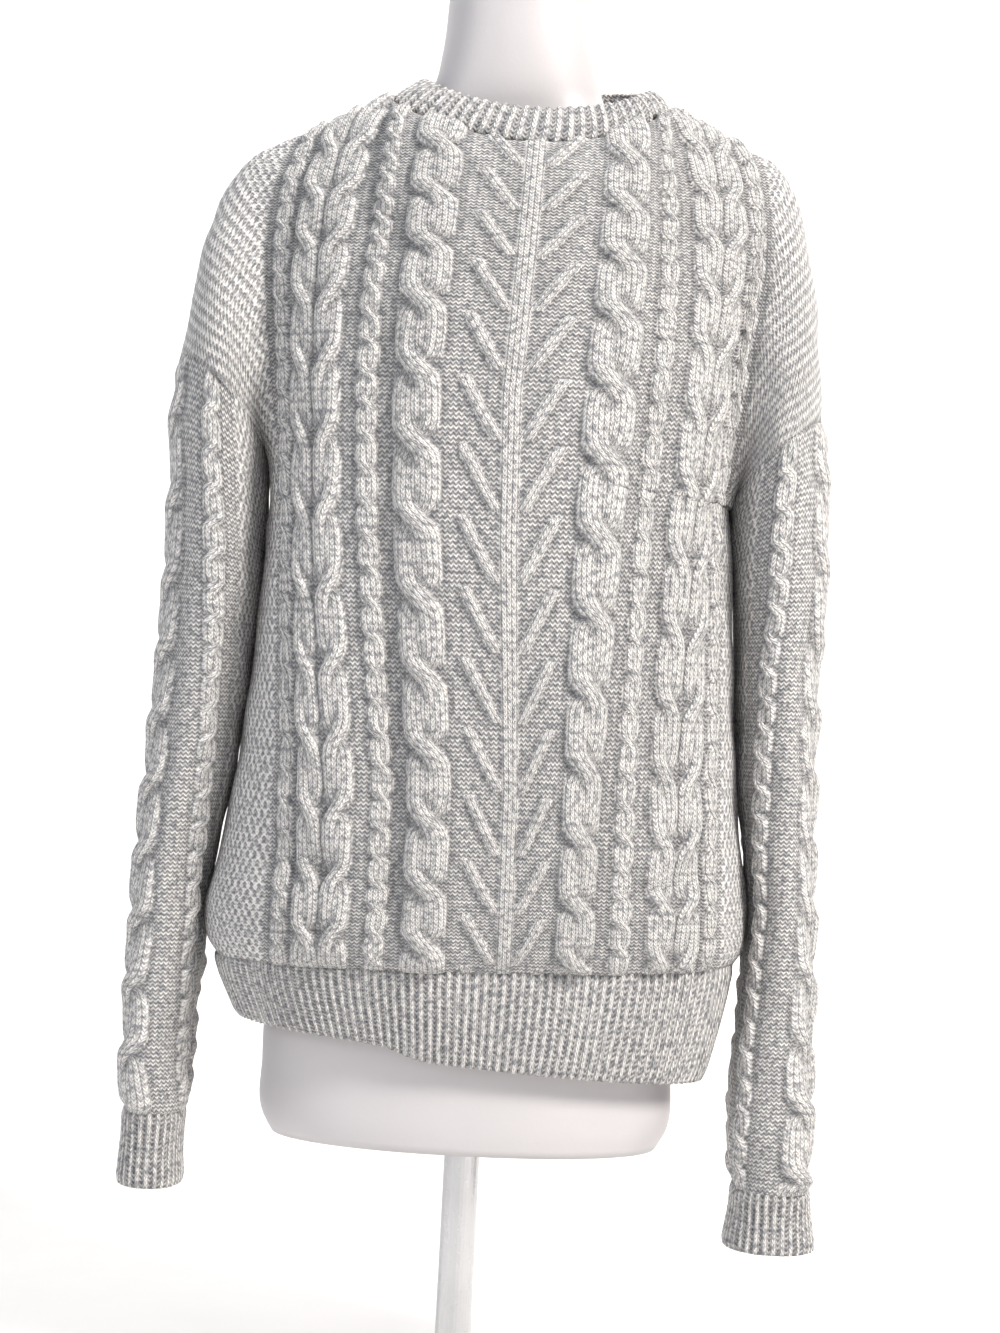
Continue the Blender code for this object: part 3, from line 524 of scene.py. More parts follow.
# What is knitted on a piece: its cables, whether the leaf spine runs down it, the wale
# beyond which it is moss, the rows over which the relief fades at a seam, and how far
# the cloth is uneven, with the size of that unevenness.
Pattern = namedtuple("Pattern", "cables leaves moss_from fade_rows uneven uneven_size")
BODY_PATTERN = Pattern(BODY_CABLES, True, 51.5, 4, 0.0009, 0.045)
SLEEVE_PATTERN = Pattern(SLEEVE_CABLES, False, 31.0, 5, 0.0010, 0.040)

SPINE_HALF = 1.95         # wales
SPINE_HEIGHT = 0.0032
SPINE_GROOVE = 0.28       # share of the height lost between the spine's wales
LEAF_FIRST = -1
LEAF_LAST = 13
LEAF_LENGTH = 0.93        # repeats a leaf vein rises through
LEAF_IN = 2.4             # wales from the spine, at its foot and at its tip
LEAF_OUT = 9.0
LEAF_HALF = 1.3
LEAF_HEIGHT = 0.0036
LEAF_BEND = 0.92
LEAF_POWER = 0.45
LEAF_TIP = 0.06           # repeats over which a vein sets in at its tip and its foot
LEAF_FOOT = 0.05
LEAF_FOOT_START = 0.2
STRAND_WIDTH = 1.08       # of half a cable's half width
UPPER_WIDENS = 0.12       # changes at a crossing
LOWER_NARROWS = 0.25
STRAND_HEIGHT = 0.78      # of the cable's height
UPPER_RISES = 0.40
LOWER_SINKS = 0.42
FLAT_HEIGHT = 0.80        # the cable lies flat between its crossings
STRAND_POWER = 0.42       # how round a strand is
UPPER_HIDES = 0.8
CROSS_EVEN = 0.35         # share of the changing over that goes on all the time
CROSS_FROM = 0.16         # where the rest begins, and how long it takes
CROSS_SPAN = 0.68
KNIT_FROM = 0.25          # of a cable's height, where its knit stitches are full
LEAF_KNIT_FROM = 0.3
VEIN_FROM = 0.2
MOSS_HEIGHT = 0.0008
EDGE_RELIEF = 0.25        # share of the relief left at a seam
SOFTENING = 0.22          # how much a point's height is shared with its neighbours
CAVITY_ROUNDS = 9
CAVITY_SHARE = 0.66
CAVITY_DEPTH = 0.0013
UNEVEN_WAVES = [          # share, phase, and the turns of two waves along x, y and z
    (1.0, 0.0, (3.1, 2.0, 1.7), (-1.1, 0.0, 2.3)),
    (0.5, 0.7, (4.1, 0.0, 5.3), (2.9, 4.7, 0.0)),
]


def fall(x):
    """A smooth step from 0 to 1."""
    x = np.clip(x, 0.0, 1.0)
    return x * x * (3 - 2 * x)


def crossing(share):
    """How far the strands have changed over, late and quick between crossings."""
    return CROSS_EVEN * share + (1 - CROSS_EVEN) * fall((share - CROSS_FROM) / CROSS_SPAN)


def strand_places(cable, turn):
    """Offsets of a cable's upper and lower strand from its middle."""
    swing = np.cos(math.pi * crossing(turn)) * cable.half / 2 * cable.hand
    return -swing, swing


def rounded(off, half, power):
    """A rounded profile, 1 in the middle and 0 from half outwards."""
    return np.clip(1 - (off / half) ** 2, 0, 1) ** power


def cable_relief(cable, wale, repeat):
    """Height, and which strand is on top: 0 none, 1 upper, 2 lower."""
    turn = ((repeat - cable.start) / cable.period) % 1
    upper, lower = strand_places(cable, turn)
    over = np.sin(math.pi * crossing(turn))
    thick = cable.half / 2 * (STRAND_WIDTH + UPPER_WIDENS * over)
    thin = cable.half / 2 * (STRAND_WIDTH - LOWER_NARROWS * over)
    off = wale - cable.middle
    top = (STRAND_HEIGHT + UPPER_RISES * over) * rounded(off - upper, thick, STRAND_POWER)
    low = (STRAND_HEIGHT - LOWER_SINKS * over) * rounded(off - lower, thin, STRAND_POWER)
    flat = FLAT_HEIGHT * (1 - over) * rounded(off, cable.half, STRAND_POWER)
    on_top = (top > 0) & (top >= low * UPPER_HIDES)
    shown = np.where(on_top, 1, np.where(low > 0, 2, 0))
    return cable.height * np.maximum(np.where(on_top, top, low), flat), shown


def vein_path(rise):
    """Wales from the spine to a leaf vein's middle, at a rise above its foot."""
    return LEAF_IN + (LEAF_OUT - LEAF_IN) * (rise / LEAF_LENGTH) ** LEAF_BEND


def leaf_relief(wale, repeat):
    """The spine of three wales, and the veins rising from it on both sides."""
    ridges = 1 - SPINE_GROOVE + SPINE_GROOVE * np.cos(2 * math.pi * wale)
    spine = SPINE_HEIGHT * ridges * np.clip(1 - (np.abs(wale) / SPINE_HALF) ** 4, 0, 1)
    foot = np.ceil(repeat)
    rise = foot - repeat
    ends = fall((LEAF_LENGTH - rise) / LEAF_TIP) * fall(rise / LEAF_FOOT + LEAF_FOOT_START)
    inside = (foot >= LEAF_FIRST) & (foot <= LEAF_LAST)
    profile = rounded(np.abs(wale) - vein_path(rise), LEAF_HALF, LEAF_POWER)
    return spine, LEAF_HEIGHT * ends * inside * profile


def stitches(wale, repeat, pattern):
    """Relief and the shares of knit and moss stitches over a piece."""
    height = np.zeros_like(wale)
    knit = np.zeros_like(wale)
    for cable in pattern.cables:
        relief, _ = cable_relief(cable, wale, repeat)
        height = np.maximum(height, relief)
        knit = np.maximum(knit, np.clip(relief / (KNIT_FROM * cable.height), 0, 1))
    if pattern.leaves:
        for relief, full in zip(leaf_relief(wale, repeat), (SPINE_HEIGHT, LEAF_HEIGHT)):
            height = np.maximum(height, relief)
            knit = np.maximum(knit, np.clip(relief / (LEAF_KNIT_FROM * full), 0, 1))
    moss = fall(np.abs(wale) - pattern.moss_from)
    return height + moss * MOSS_HEIGHT, knit * (1 - moss), moss


def strand_shift(wale, repeat, pattern):
    """Per face corner, how far the strand that shows has wandered from its wale."""
    shift = np.zeros_like(wale)
    face_wale = wale.mean(axis=-1)
    face_repeat = repeat.mean(axis=-1)
    for cable in pattern.cables:
        shown = cable_relief(cable, face_wale, face_repeat)[1][..., None]
        whole = np.floor((face_repeat - cable.start) / cable.period)
        turn = (repeat - cable.start) / cable.period - whole[..., None]
        upper, lower = strand_places(cable, turn)
        shift = np.where(shown == 1, upper, np.where(shown == 2, lower, shift))
    if pattern.leaves:
        spine, vein = leaf_relief(face_wale, face_repeat)
        rise = np.clip(np.ceil(face_repeat)[..., None] - repeat, 0, None)
        on_vein = ((vein > spine) & (vein > VEIN_FROM * LEAF_HEIGHT))[..., None]
        along_vein = vein_path(rise) * np.sign(face_wale)[..., None] + 0.5
        shift = np.where(on_vein, along_vein, shift)
    return shift


def spread(grid, closed, share):
    """Each value shared with its neighbours; share is what they give in all."""
    out = grid.copy()
    out[1:-1] = (1 - share) * grid[1:-1] + share / 2 * (grid[:-2] + grid[2:])
    if closed:
        return (1 - share) * out + share / 2 * (np.roll(out, 1, axis=1) + np.roll(out, -1, axis=1))
    wide = out.copy()
    wide[:, 1:-1] = (1 - share) * out[:, 1:-1] + share / 2 * (out[:, :-2] + out[:, 2:])
    return wide


def cavity(height, closed):
    """How far each point stands above its surroundings, about -1 to 1; the yarn material paints shade
    where it is low.
    """
    mean = height
    for _ in range(CAVITY_ROUNDS):
        mean = spread(mean, closed, CAVITY_SHARE)
    return (height - mean) / CAVITY_DEPTH


def fade_edges(height, rows):
    """Lets the relief sink over the last rows at both ends."""
    index = np.arange(len(height))
    nearest = np.minimum(index, len(height) - 1 - index)
    weight = EDGE_RELIEF + (1 - EDGE_RELIEF) * fall(nearest / rows)
    return height * weight[:, None]


def wobble(grid, amount, scale):
    """A slow unevenness of the cloth, the same at every run."""
    waves = [share * np.sin(grid @ first / scale + phase) * np.sin(grid @ second / scale)
             for share, phase, first, second in UNEVEN_WAVES]
    return amount * sum(waves)


# ---- meshes of the cloth -----------------------------------------------------
INNER_STEP = 5            # the lining side has a fifth of the rows and columns


def grid_normals(grid, closed, flip):
    """Unit normals of a grid of points."""
    up = np.gradient(grid, axis=0)
    if closed:
        across = np.roll(grid, -1, axis=1) - np.roll(grid, 1, axis=1)
    else:
        across = np.gradient(grid, axis=1)
    normal = np.cross(across, up) * (-1 if flip else 1)
    return normal / np.maximum(np.linalg.norm(normal, axis=-1), 1e-9)[..., None]


def run_along(grid):
    """Length along every row from its first point."""
    steps = np.linalg.norm(np.diff(grid, axis=1), axis=2)
    return np.concatenate([np.zeros((len(grid), 1)), np.cumsum(steps, axis=1)], axis=1)


def quads_of(grid, closed):
    """A grid's values at the four corners of each quad."""
    right = np.roll(grid, -1, axis=1)
    if not closed:
        right = right[:, :-1]
        grid = grid[:, :-1]
    return np.stack([grid[:-1], right[:-1], right[1:], grid[1:]], axis=-1)


def edges_of(numbers, closed):
    """The points along each edge of a grid, and whether its rim is turned over."""
    if closed:
        numbers = np.concatenate([numbers, numbers[:, :1]], axis=1)
    edges = [(numbers[0], False), (numbers[-1], True)]
    return edges if closed else edges + [(numbers[:, 0], True), (numbers[:, -1], False)]


def rim_triangles(fine, coarse, turned):
    """Joins an edge's fine points to the coarse ones of the lining side."""
    near = coarse[(np.arange(len(fine) - 1) + INNER_STEP // 2) // INNER_STEP]
    fans = np.stack([fine[1:], fine[:-1], near], axis=1)
    links = np.stack([fine[INNER_STEP // 2 + 1::INNER_STEP], coarse[:-1], coarse[1:]], axis=1)
    made = np.concatenate([fans, links])
    return made[:, ::-1] if turned else made


def make_mesh(name, outer, inner, place, corner_place, masks, closed, flip):
    """A closed cloth: fine outside, coarse inside, joined round its edges.

    place holds every point's wale and course, and corner_place those of the outside's
    face corners, which follow the strands.
    """
    thin = (slice(None, None, INNER_STEP),) * 2
    numbers = np.arange(outer[..., 0].size).reshape(outer.shape[:2])
    low = numbers.size + np.arange(inner[thin][..., 0].size).reshape(inner[thin].shape[:2])
    faces = [quads_of(numbers, closed).reshape(-1, 4),
             quads_of(low, closed).reshape(-1, 4)[:, [0, 3, 2, 1]]]
    for (edge, turned), (low_edge, _) in zip(edges_of(numbers, closed), edges_of(low, closed)):
        faces.append(rim_triangles(edge, low_edge, turned))
    if flip:
        faces = [part[:, ::-1] for part in faces]
        corner_place = corner_place[:, ::-1]
    loops = np.concatenate([part.ravel() for part in faces]).astype(np.int32)
    sizes = np.concatenate([np.full(len(part), part.shape[1]) for part in faces])
    points = np.concatenate([outer.reshape(-1, 3), inner[thin].reshape(-1, 3)])
    mesh = bpy.data.meshes.new(name)
    mesh.vertices.add(len(points))
    mesh.vertices.foreach_set("co", points.ravel())
    mesh.loops.add(len(loops))
    mesh.loops.foreach_set("vertex_index", loops)
    mesh.polygons.add(len(sizes))
    mesh.polygons.foreach_set("loop_start", (np.cumsum(sizes) - sizes).astype(np.int32))
    mesh.polygons.foreach_set("use_smooth", np.ones(len(sizes), bool))
    uv = np.concatenate([place.reshape(-1, 2), place[thin].reshape(-1, 2)])[loops]
    uv[:corner_place.size // 2] = corner_place.reshape(-1, 2)
    mesh.uv_layers.new(name="stitch").data.foreach_set("uv", uv.ravel())
    for key, value in masks.items():
        both = np.concatenate([value.ravel(), np.zeros(low.size)])
        mesh.attributes.new(key, "FLOAT", "POINT").data.foreach_set("value", both)
    mesh.update(calc_edges=True)
    mesh.validate()
    return mesh


def add_piece(node, mesh, material):
    """Puts a cloth piece in the scene in place of its CAD node."""
    piece = bpy.data.objects.new(node + "_knit", mesh)
    bpy.context.scene.collection.objects.link(piece)
    mesh.materials.append(material)
    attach(piece, "root")
    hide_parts(node)


def add_knitted(name, grid, wale, repeat, pattern, closed, flip, material):
    """A piece with its cables, from the wale and repeat at every point of its grid."""
    height, knit, moss = stitches(wale, repeat, pattern)
    height = fade_edges(spread(height, closed, SOFTENING), pattern.fade_rows)
    raised = height + wobble(grid, pattern.uneven, pattern.uneven_size)
    normal = grid_normals(grid, closed, flip)
    corner_wale = quads_of(wale, closed)
    corner_repeat = quads_of(repeat, closed)
    if closed:
        # The count of wales runs on over the inner seam.
        step = corner_wale[:, -2, 1] - corner_wale[:, -2, 0]
        corner_wale[:, -1, 1:3] = corner_wale[:, -1, [0, 3]] + step[:, None]
    shift = strand_shift(corner_wale, corner_repeat, pattern)
    corner_place = np.stack([corner_wale - shift, -corner_repeat * COURSES], axis=-1)
    # The relief attribute is the cavity, from which the yarn material paints shade into the hollows.
    mesh = make_mesh(name, grid + normal * raised[..., None], grid - normal * WALL,
                     np.stack([wale, -repeat * COURSES], axis=-1), corner_place.reshape(-1, 4, 2),
                     {"knit": knit, "moss": moss, "relief": cavity(height, closed)}, closed, flip)
    add_piece(name, mesh, material)


# ---- body panels -------------------------------------------------------------
# Columns to a CAD column at the sides and between the creases, and rows.
PANEL_FINE = {-1: (5, 11, 325), 1: (5, 7, 240)}
LOW_SHARE = 0.56          # of the rows, below the underarm
FOLD_INSET = 1.5          # CAD columns from the side seam where the folds are full
CREASE_ROUNDS = 12        # how the armpit crease is rounded
CREASE_SHARE = 0.6
CREASE_WIDTH = 0.5        # CAD columns
CREASE_RAMP = 30          # rows over which the crease's rounding sets in


def panel_surface(side):
    """Fine grid of a body panel, with the CAD column of each of its columns."""
    at_side, between_creases, rows = PANEL_FINE[side]
    last = COLUMNS - SIDE_COLUMNS
    middle_steps = (last - SIDE_COLUMNS) * between_creases // INNER_STEP * INNER_STEP
    column = np.concatenate([
        np.linspace(0, SIDE_COLUMNS, SIDE_COLUMNS * at_side + 1),
        np.linspace(SIDE_COLUMNS, last, middle_steps + 1)[1:],
        np.linspace(last, COLUMNS, SIDE_COLUMNS * at_side + 1)[1:]])
    low_rows = int(rows * LOW_SHARE) // INNER_STEP * INNER_STEP
    high_rows = (rows - low_rows) // INNER_STEP * INNER_STEP
    levels = np.linspace(BODY_SECTIONS[0][0], underarm_section()[0], low_rows + 1)
    body = np.array([body_row(z, side, column) for z in levels])
    yoke = yoke_rows(np.linspace(0, 1, high_rows + 1), side, column)
    return column, smooth_crease(np.concatenate([body, yoke[1:]]), column, low_rows)


def smooth_crease(grid, column, first):
    """Rounds the sharp line of the armpit crease above the underarm."""
    ramp = fall((np.arange(len(grid)) - first) / CREASE_RAMP)[:, None]
    for _ in range(CREASE_ROUNDS):
        mean = (grid[:, :-2] + grid[:, 2:]) / 2
        for edge in (SIDE_COLUMNS, COLUMNS - SIDE_COLUMNS):
            near = np.exp(-((column[1:-1] - edge) / CREASE_WIDTH) ** 2)
            weight = CREASE_SHARE * ramp * near
            grid[:, 1:-1] += weight[:, :, None] * (mean - grid[:, 1:-1])
    return grid


def repeat_at(level):
    """Number of leaf repeats down to a height, from leaf 0."""
    heights, lengths = np.array(REPEAT_LENGTHS).T
    steps = np.linspace(COUNT_FROM, COUNT_TO, COUNT_STEPS + 1)
    rate = 1 / np.interp(steps, heights, lengths)
    count = np.concatenate([[0.0], np.cumsum((rate[1:] + rate[:-1]) / 2 * np.diff(steps))])
    return np.interp(FIRST_LEAF_Z, steps, count) - np.interp(level, steps, count)


def wales_of(grid, layout):
    """Wale number of every point, counted along its row from the spine."""
    at = table(layout, WALE_COLUMNS)
    numbers = [-LAST_WALE, -FAR_WALE, 0.0, FAR_WALE, LAST_WALE]
    beyond = LAST_WALE - FAR_WALE
    middle = slice(grid.shape[1] // 4, 3 * grid.shape[1] // 4)
    out = np.empty(grid.shape[:2])
    for r, (row, length) in enumerate(zip(grid, run_along(grid))):
        z = row[len(row) // 2, 2]
        spine, near_l, far_l, near_r, far_r = (np.interp(z, at["z"], at[n]) for n in WALE_COLUMNS[1:])
        run = length - np.interp(spine, row[middle, 0], length[middle])
        known = [-FAR_WALE * near_l - far_l * beyond, -FAR_WALE * near_l, 0.0,
                 FAR_WALE * near_r, FAR_WALE * near_r + far_r * beyond]
        out[r] = np.interp(run, known, numbers)
    return out


def add_panel(name, side, material):
    """Front or back panel with its cables."""
    column, grid = panel_surface(side)
    folds, layout = (FRONT_FOLDS, FRONT_WALES) if side < 0 else (BACK_FOLDS, BACK_WALES)
    inside = fall(np.minimum(column, COLUMNS - column) / FOLD_INSET)
    grid[:, :, 1] -= side * fold_shift(grid[:, :, 0], grid[:, :, 2], folds) * inside
    # Beyond a crease the courses stay at the crease's height.
    creases = np.searchsorted(column, (SIDE_COLUMNS, COLUMNS - SIDE_COLUMNS))
    level = grid[:, np.clip(np.arange(len(column)), *creases), 2]
    add_knitted(name, grid, wales_of(grid, layout), repeat_at(level), BODY_PATTERN, False,
                side > 0, material)


# ---- the other pieces ------------------------------------------------------
RIB_PITCH = 0.0062        # one knit and one purl wale of a hem or cuff rib
NECK_PITCH = 0.0088
RIB_HEIGHT = 0.0026
RIB_POWER = 0.8           # how broad a rib's knit wale is
RIB_SINK = 0.0008         # how far the rib's hollows lie below the CAD's face
RIB_KNIT_FROM = 0.25      # of a rib's wave, where knit stitches set in
RIB_KNIT_SPAN = 0.35
RIB_PAINTED_SHADE = 1.6           # how strongly shade is painted into a rib's hollows
RIB_COURSE = 0.0033       # height of one row of stitches in a rib
RIB_TUCK = 0.0012         # the cloth is drawn in where it's sewn
RIB_TUCK_SHARE = 0.10     # of the rib's height
SLEEVE_REPEAT = 0.042
SLEEVE_FINE = (200, 280)  # round and along
CUFF_FINE = (200, 25)
HEM_FINE = (11, 30)       # columns to a CAD column, and rows
NECK_FINE = (180, 15)


def add_rib(name, grid, closed, flip, pitch, material, courses_run=-1):
    """A ribbed band: hem, cuff or neck. courses_run is 1 where its rows run upwards."""
    run = run_along(grid)
    girth = run[:, -1:] + (np.linalg.norm(grid[:, :1] - grid[:, -1:], axis=2) if closed else 0)
    count = round(float(girth[0, 0]) / pitch)
    rib = run / girth * count
    share = np.broadcast_to(np.linspace(0, 1, len(grid))[:, None], run.shape)
    wave = 0.5 + 0.5 * np.cos(2 * math.pi * rib)
    ends = fall(np.minimum(share, 1 - share) / RIB_TUCK_SHARE)
    height = RIB_HEIGHT * wave ** RIB_POWER - RIB_TUCK * (1 - ends) - RIB_SINK
    normal = grid_normals(grid, closed, flip)
    tall = np.linalg.norm(grid[0] - grid[-1], axis=1).mean()
    course = courses_run * share * tall / RIB_COURSE
    wale = 2 * rib
    corner_wale = quads_of(wale, closed)
    if closed:
        corner_wale[:, -1, 1:3] = 2 * count
    corner_place = np.stack([corner_wale, quads_of(course, closed)], axis=-1).reshape(-1, 4, 2)
    # relief here is the rib's wave, from which the yarn material paints shade into the rib's hollows.
    masks = {"knit": fall((wave - RIB_KNIT_FROM) / RIB_KNIT_SPAN), "moss": np.zeros_like(wale),
             "relief": RIB_PAINTED_SHADE * (wave - 0.5)}
    mesh = make_mesh(name, grid + normal * height[..., None], grid - normal * RIB_WALL,
                     np.stack([wale, course], axis=-1), corner_place, masks, closed, flip)
    add_piece(name, mesh, material)


def add_sleeve(name, sections, folds, flip, material):
    """A sleeve with its cables, counted from the top line."""
    around, rows = SLEEVE_FINE
    grid = tube(sections, rows, around, folds)
    run = run_along(grid)
    wale = (run - run[:, [around // 2]]) / WALE
    repeats = (sections[0][0] - sections[-1][0]) / SLEEVE_REPEAT
    repeat = np.broadcast_to(np.linspace(0, repeats, rows + 1)[:, None], run.shape)
    add_knitted(name, grid, wale, repeat, SLEEVE_PATTERN, True, flip, material)


FORM_ROWS = 150
FORM_AROUND = 160
FORM_SQUARENESS = 2.15


def add_object(name, points, faces, smooth, material):
    """An object made of listed points and faces."""
    mesh = bpy.data.meshes.new(name)
    mesh.from_pydata(points, [], faces)
    mesh.polygons.foreach_set("use_smooth", smooth)
    mesh.materials.append(material)
    made = bpy.data.objects.new(name, mesh)
    bpy.context.scene.collection.objects.link(made)
    return made


def add_form(material):
    """The dress form's smooth torso."""
    sections = np.array(FORM_SECTIONS)
    levels = np.linspace(sections[0, 0], sections[-1, 0], FORM_ROWS + 1)
    turn = np.arange(FORM_AROUND) / FORM_AROUND * 2 * math.pi
    cos = np.sign(np.cos(turn)) * np.abs(np.cos(turn)) ** (2 / FORM_SQUARENESS)
    sin = np.sign(np.sin(turn)) * np.abs(np.sin(turn)) ** (2 / FORM_SQUARENESS)
    points = []
    for z in levels:
        half, front, back, tilt = (curve_through(sections[:, 0], sections[:, k], z) for k in range(1, 5))
        depth = np.where(sin < 0, front, back)
        points += np.column_stack([FORM_X + half * cos, depth * sin, z + tilt * half * cos]).tolist()
    numbers = np.arange(len(points)).reshape(FORM_ROWS + 1, FORM_AROUND)
    faces = [numbers[0, ::-1].tolist(), numbers[-1].tolist()]
    faces += quads_of(numbers, True).reshape(-1, 4).tolist()
    form = add_object("form_torso_smooth", points, faces, [len(f) == 4 for f in faces], material)
    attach(form, "root")
    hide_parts("form_torso")


# ---- materials -------------------------------------------------------------
YARN_LIGHT = (0.90, 0.87, 0.845)
YARN_DARK = (0.35, 0.35, 0.365)
# painted shade: the dark, slightly bluish colour the yarn is mixed towards between stitches and in
# hollows
PAINTED_SHADE_COLOUR = (0.072, 0.075, 0.084)
YARN_ROUGHNESS = 0.92
YARN_SHEEN = 0.25
YARN_SHEEN_ROUGHNESS = 0.6
YARN_SPECULAR = 0.2
STITCH_DEPTH = 0.0016
FUZZ_SCALE = 1500.0
FUZZ_SHARE = 0.12         # of the stitches' depth
MARL_STRETCH = (0.80, 0.85, 1.0)  # noise cells to a wale and to a course
MARL_DETAIL = 2.0
MARL_FROM = 0.32          # noise where the dark yarn ends and the light one is full
MARL_TO = 0.60
# A knit stitch: two legs that meet in its heart and rise to its edges.
LEG_RISE = 0.85           # courses a leg rises from the heart to the edge
LEG_POWER = 0.85
LEG_HEIGHT = 0.64
LEG_BASE = 0.26
HEART_WIDTH = 0.22        # of half a stitch
HEART_DEPTH = 0.3
EDGE_WIDTH = 0.47
EDGE_DEPTH = 0.85
PURL_BEND = 0.22          # courses a purl row waves up and down
PURL_HEIGHT = 0.7
PURL_SWELL = 0.2
PURL_LEVEL = 0.8          # height of the purl ground beside the knit stitches
MOSS_SHARE = 0.45         # of its bumps, and of the purl rows in it
MOSS_EDGE = 0.35
STITCH_SHADE_FROM = -0.02          # stitch height where the painted shade makes the yarn darkest and lightest
STITCH_SHADE_TO = 0.66
STITCH_SHADE_LEAST = 0.24
HOLLOW_SHADE_FROM = -1.0          # cavity where the painted shade makes the cloth darkest and lightest
HOLLOW_SHADE_TO = 0.25
HOLLOW_SHADE_LEAST = 0.52
KNIT_PAINTED_LIGHT = 0.12           # knit stitches are painted lighter than purl by this, as shade is painted on the purl ground
PURL_PAINTED_SHADE = 0.85

GRAIN_ROUGHNESS = 0.16    # how far a finish's roughness varies
GRAIN_BUMP = 0.5
SLOW_SCALE = 9.0          # the slow change between a finish's two colours
# Columns: colour, the darker colour in it, roughness, metallic, grain scale and depth.
FINISHES = {
    "form_shell": ((0.50, 0.48, 0.49), (0.485, 0.465, 0.475), 0.42, 0.0, 350.0, 0.0002),
    "cap_shell": ((0.50, 0.48, 0.49), (0.485, 0.465, 0.475), 0.35, 0.0, 300.0, 0.0002),
    "brushed_steel": ((0.60, 0.60, 0.61), (0.52, 0.52, 0.53), 0.30, 1.0, 500.0, 0.0001),
    "powder_coat": ((0.80, 0.79, 0.78), (0.77, 0.76, 0.75), 0.45, 0.0, 700.0, 0.0003),
    "backdrop_paper": ((0.90, 0.89, 0.88), (0.88, 0.87, 0.86), 0.90, 0.0, 60.0, 0.0002),
}
CAD_FINISHES = {
    "form_neck_cap": "cap_shell",
    "stand_pole": "brushed_steel",
    "stand_base": "powder_coat",
}


def maths(tree, operation, *values):
    """One arithmetic node; the values are numbers or outputs."""
    made = tree.nodes.new("ShaderNodeMath")
    made.operation = operation
    for socket, value in zip(made.inputs, values):
        if isinstance(value, (int, float)):
            socket.default_value = value
        else:
            tree.links.new(value, socket)
    return made.outputs[0]


def scaled(tree, value, factor, offset):
    """value x factor + offset."""
    return maths(tree, "MULTIPLY_ADD", value, factor, offset)


def times(tree, a, b):
    return maths(tree, "MULTIPLY", a, b)


def wave_of(tree, turns):
    """A cosine wave, -1 to 1, over so many turns."""
    return maths(tree, "COSINE", times(tree, turns, 2 * math.pi))


def blend_colours(tree, share, low, high):
    """Mixes two colours."""
    made = tree.nodes.new("ShaderNodeMix")
    made.data_type = "RGBA"
    for socket, value in ((made.inputs[0], share), (made.inputs[6], low), (made.inputs[7], high)):
        if isinstance(value, tuple):
            socket.default_value = (*value, 1.0)
        else:
            tree.links.new(value, socket)
    return made.outputs[2]


def between(tree, value, low, high):
    """0 below low, 1 above high, smooth between."""
    made = tree.nodes.new("ShaderNodeMapRange")
    made.interpolation_type = "SMOOTHSTEP"
    tree.links.new(value, made.inputs[0])
    made.inputs[1].default_value = low
    made.inputs[2].default_value = high
    return made.outputs[0]


def attribute(tree, name):
    made = tree.nodes.new("ShaderNodeAttribute")
    made.attribute_name = name
    return made.outputs["Fac"]


def noise(tree, coords, scale, detail):
    made = tree.nodes.new("ShaderNodeTexNoise")
    made.inputs["Scale"].default_value = scale
    made.inputs["Detail"].default_value = detail
    tree.links.new(coords, made.inputs["Vector"])
    return made.outputs["Fac"]


def new_material(name, roughness):
    made = bpy.data.materials.new(name)
    made.use_nodes = True
    shader = made.node_tree.nodes["Principled BSDF"]
    shader.inputs["Roughness"].default_value = roughness
    return made, made.node_tree, shader


def bump(tree, height, shader, distance, strength=1.0):
    made = tree.nodes.new("ShaderNodeBump")
    made.inputs["Distance"].default_value = distance
    made.inputs["Strength"].default_value = strength
    tree.links.new(height, made.inputs["Height"])
    tree.links.new(made.outputs["Normal"], shader.inputs["Normal"])


def knit_height(tree, u, v):
    """Height of knit stitches, from the wale u and the course v."""
    off = maths(tree, "SUBTRACT", maths(tree, "FRACT", maths(tree, "ADD", u, 0.5)), 0.5)
    side = times(tree, maths(tree, "ABSOLUTE", off), 2.0)
    leg = scaled(tree, wave_of(tree, scaled(tree, side, -LEG_RISE, v)), 0.5, 0.5)
    leg = scaled(tree, maths(tree, "POWER", leg, LEG_POWER), LEG_HEIGHT, LEG_BASE)
    heart = between(tree, side, 0.0, HEART_WIDTH)
    edge = between(tree, maths(tree, "SUBTRACT", 1.0, side), 0.0, EDGE_WIDTH)
    groove = times(tree, scaled(tree, heart, HEART_DEPTH, 1 - HEART_DEPTH),
                   scaled(tree, edge, EDGE_DEPTH, 1 - EDGE_DEPTH))
    return times(tree, leg, groove)


def purl_height(tree, u, v):
    """Height of purl stitches: rows that wave from stitch to stitch."""
    wave = wave_of(tree, u)
    row = scaled(tree, wave_of(tree, scaled(tree, wave, PURL_BEND, v)), 0.5, 0.5)
    return times(tree, row, scaled(tree, wave, PURL_SWELL, PURL_HEIGHT))


def stitch_height(tree, u, v, knit_share, moss_share):
    """Height of the stitches, mixed by the shares of knit and moss."""
    purl = purl_height(tree, u, v)
    checker = times(tree, maths(tree, "SINE", times(tree, u, math.pi)),
                    maths(tree, "SINE", times(tree, v, math.pi / 2)))
    checker = between(tree, checker, -MOSS_EDGE, MOSS_EDGE)
    moss = maths(tree, "ADD", times(tree, checker, MOSS_SHARE), times(tree, purl, MOSS_SHARE))
    plain = maths(tree, "ADD", times(tree, knit_height(tree, u, v), knit_share),
                  times(tree, purl, scaled(tree, knit_share, -PURL_LEVEL, PURL_LEVEL)))
    return maths(tree, "ADD", times(tree, plain, maths(tree, "SUBTRACT", 1.0, moss_share)),
                 times(tree, moss, moss_share))


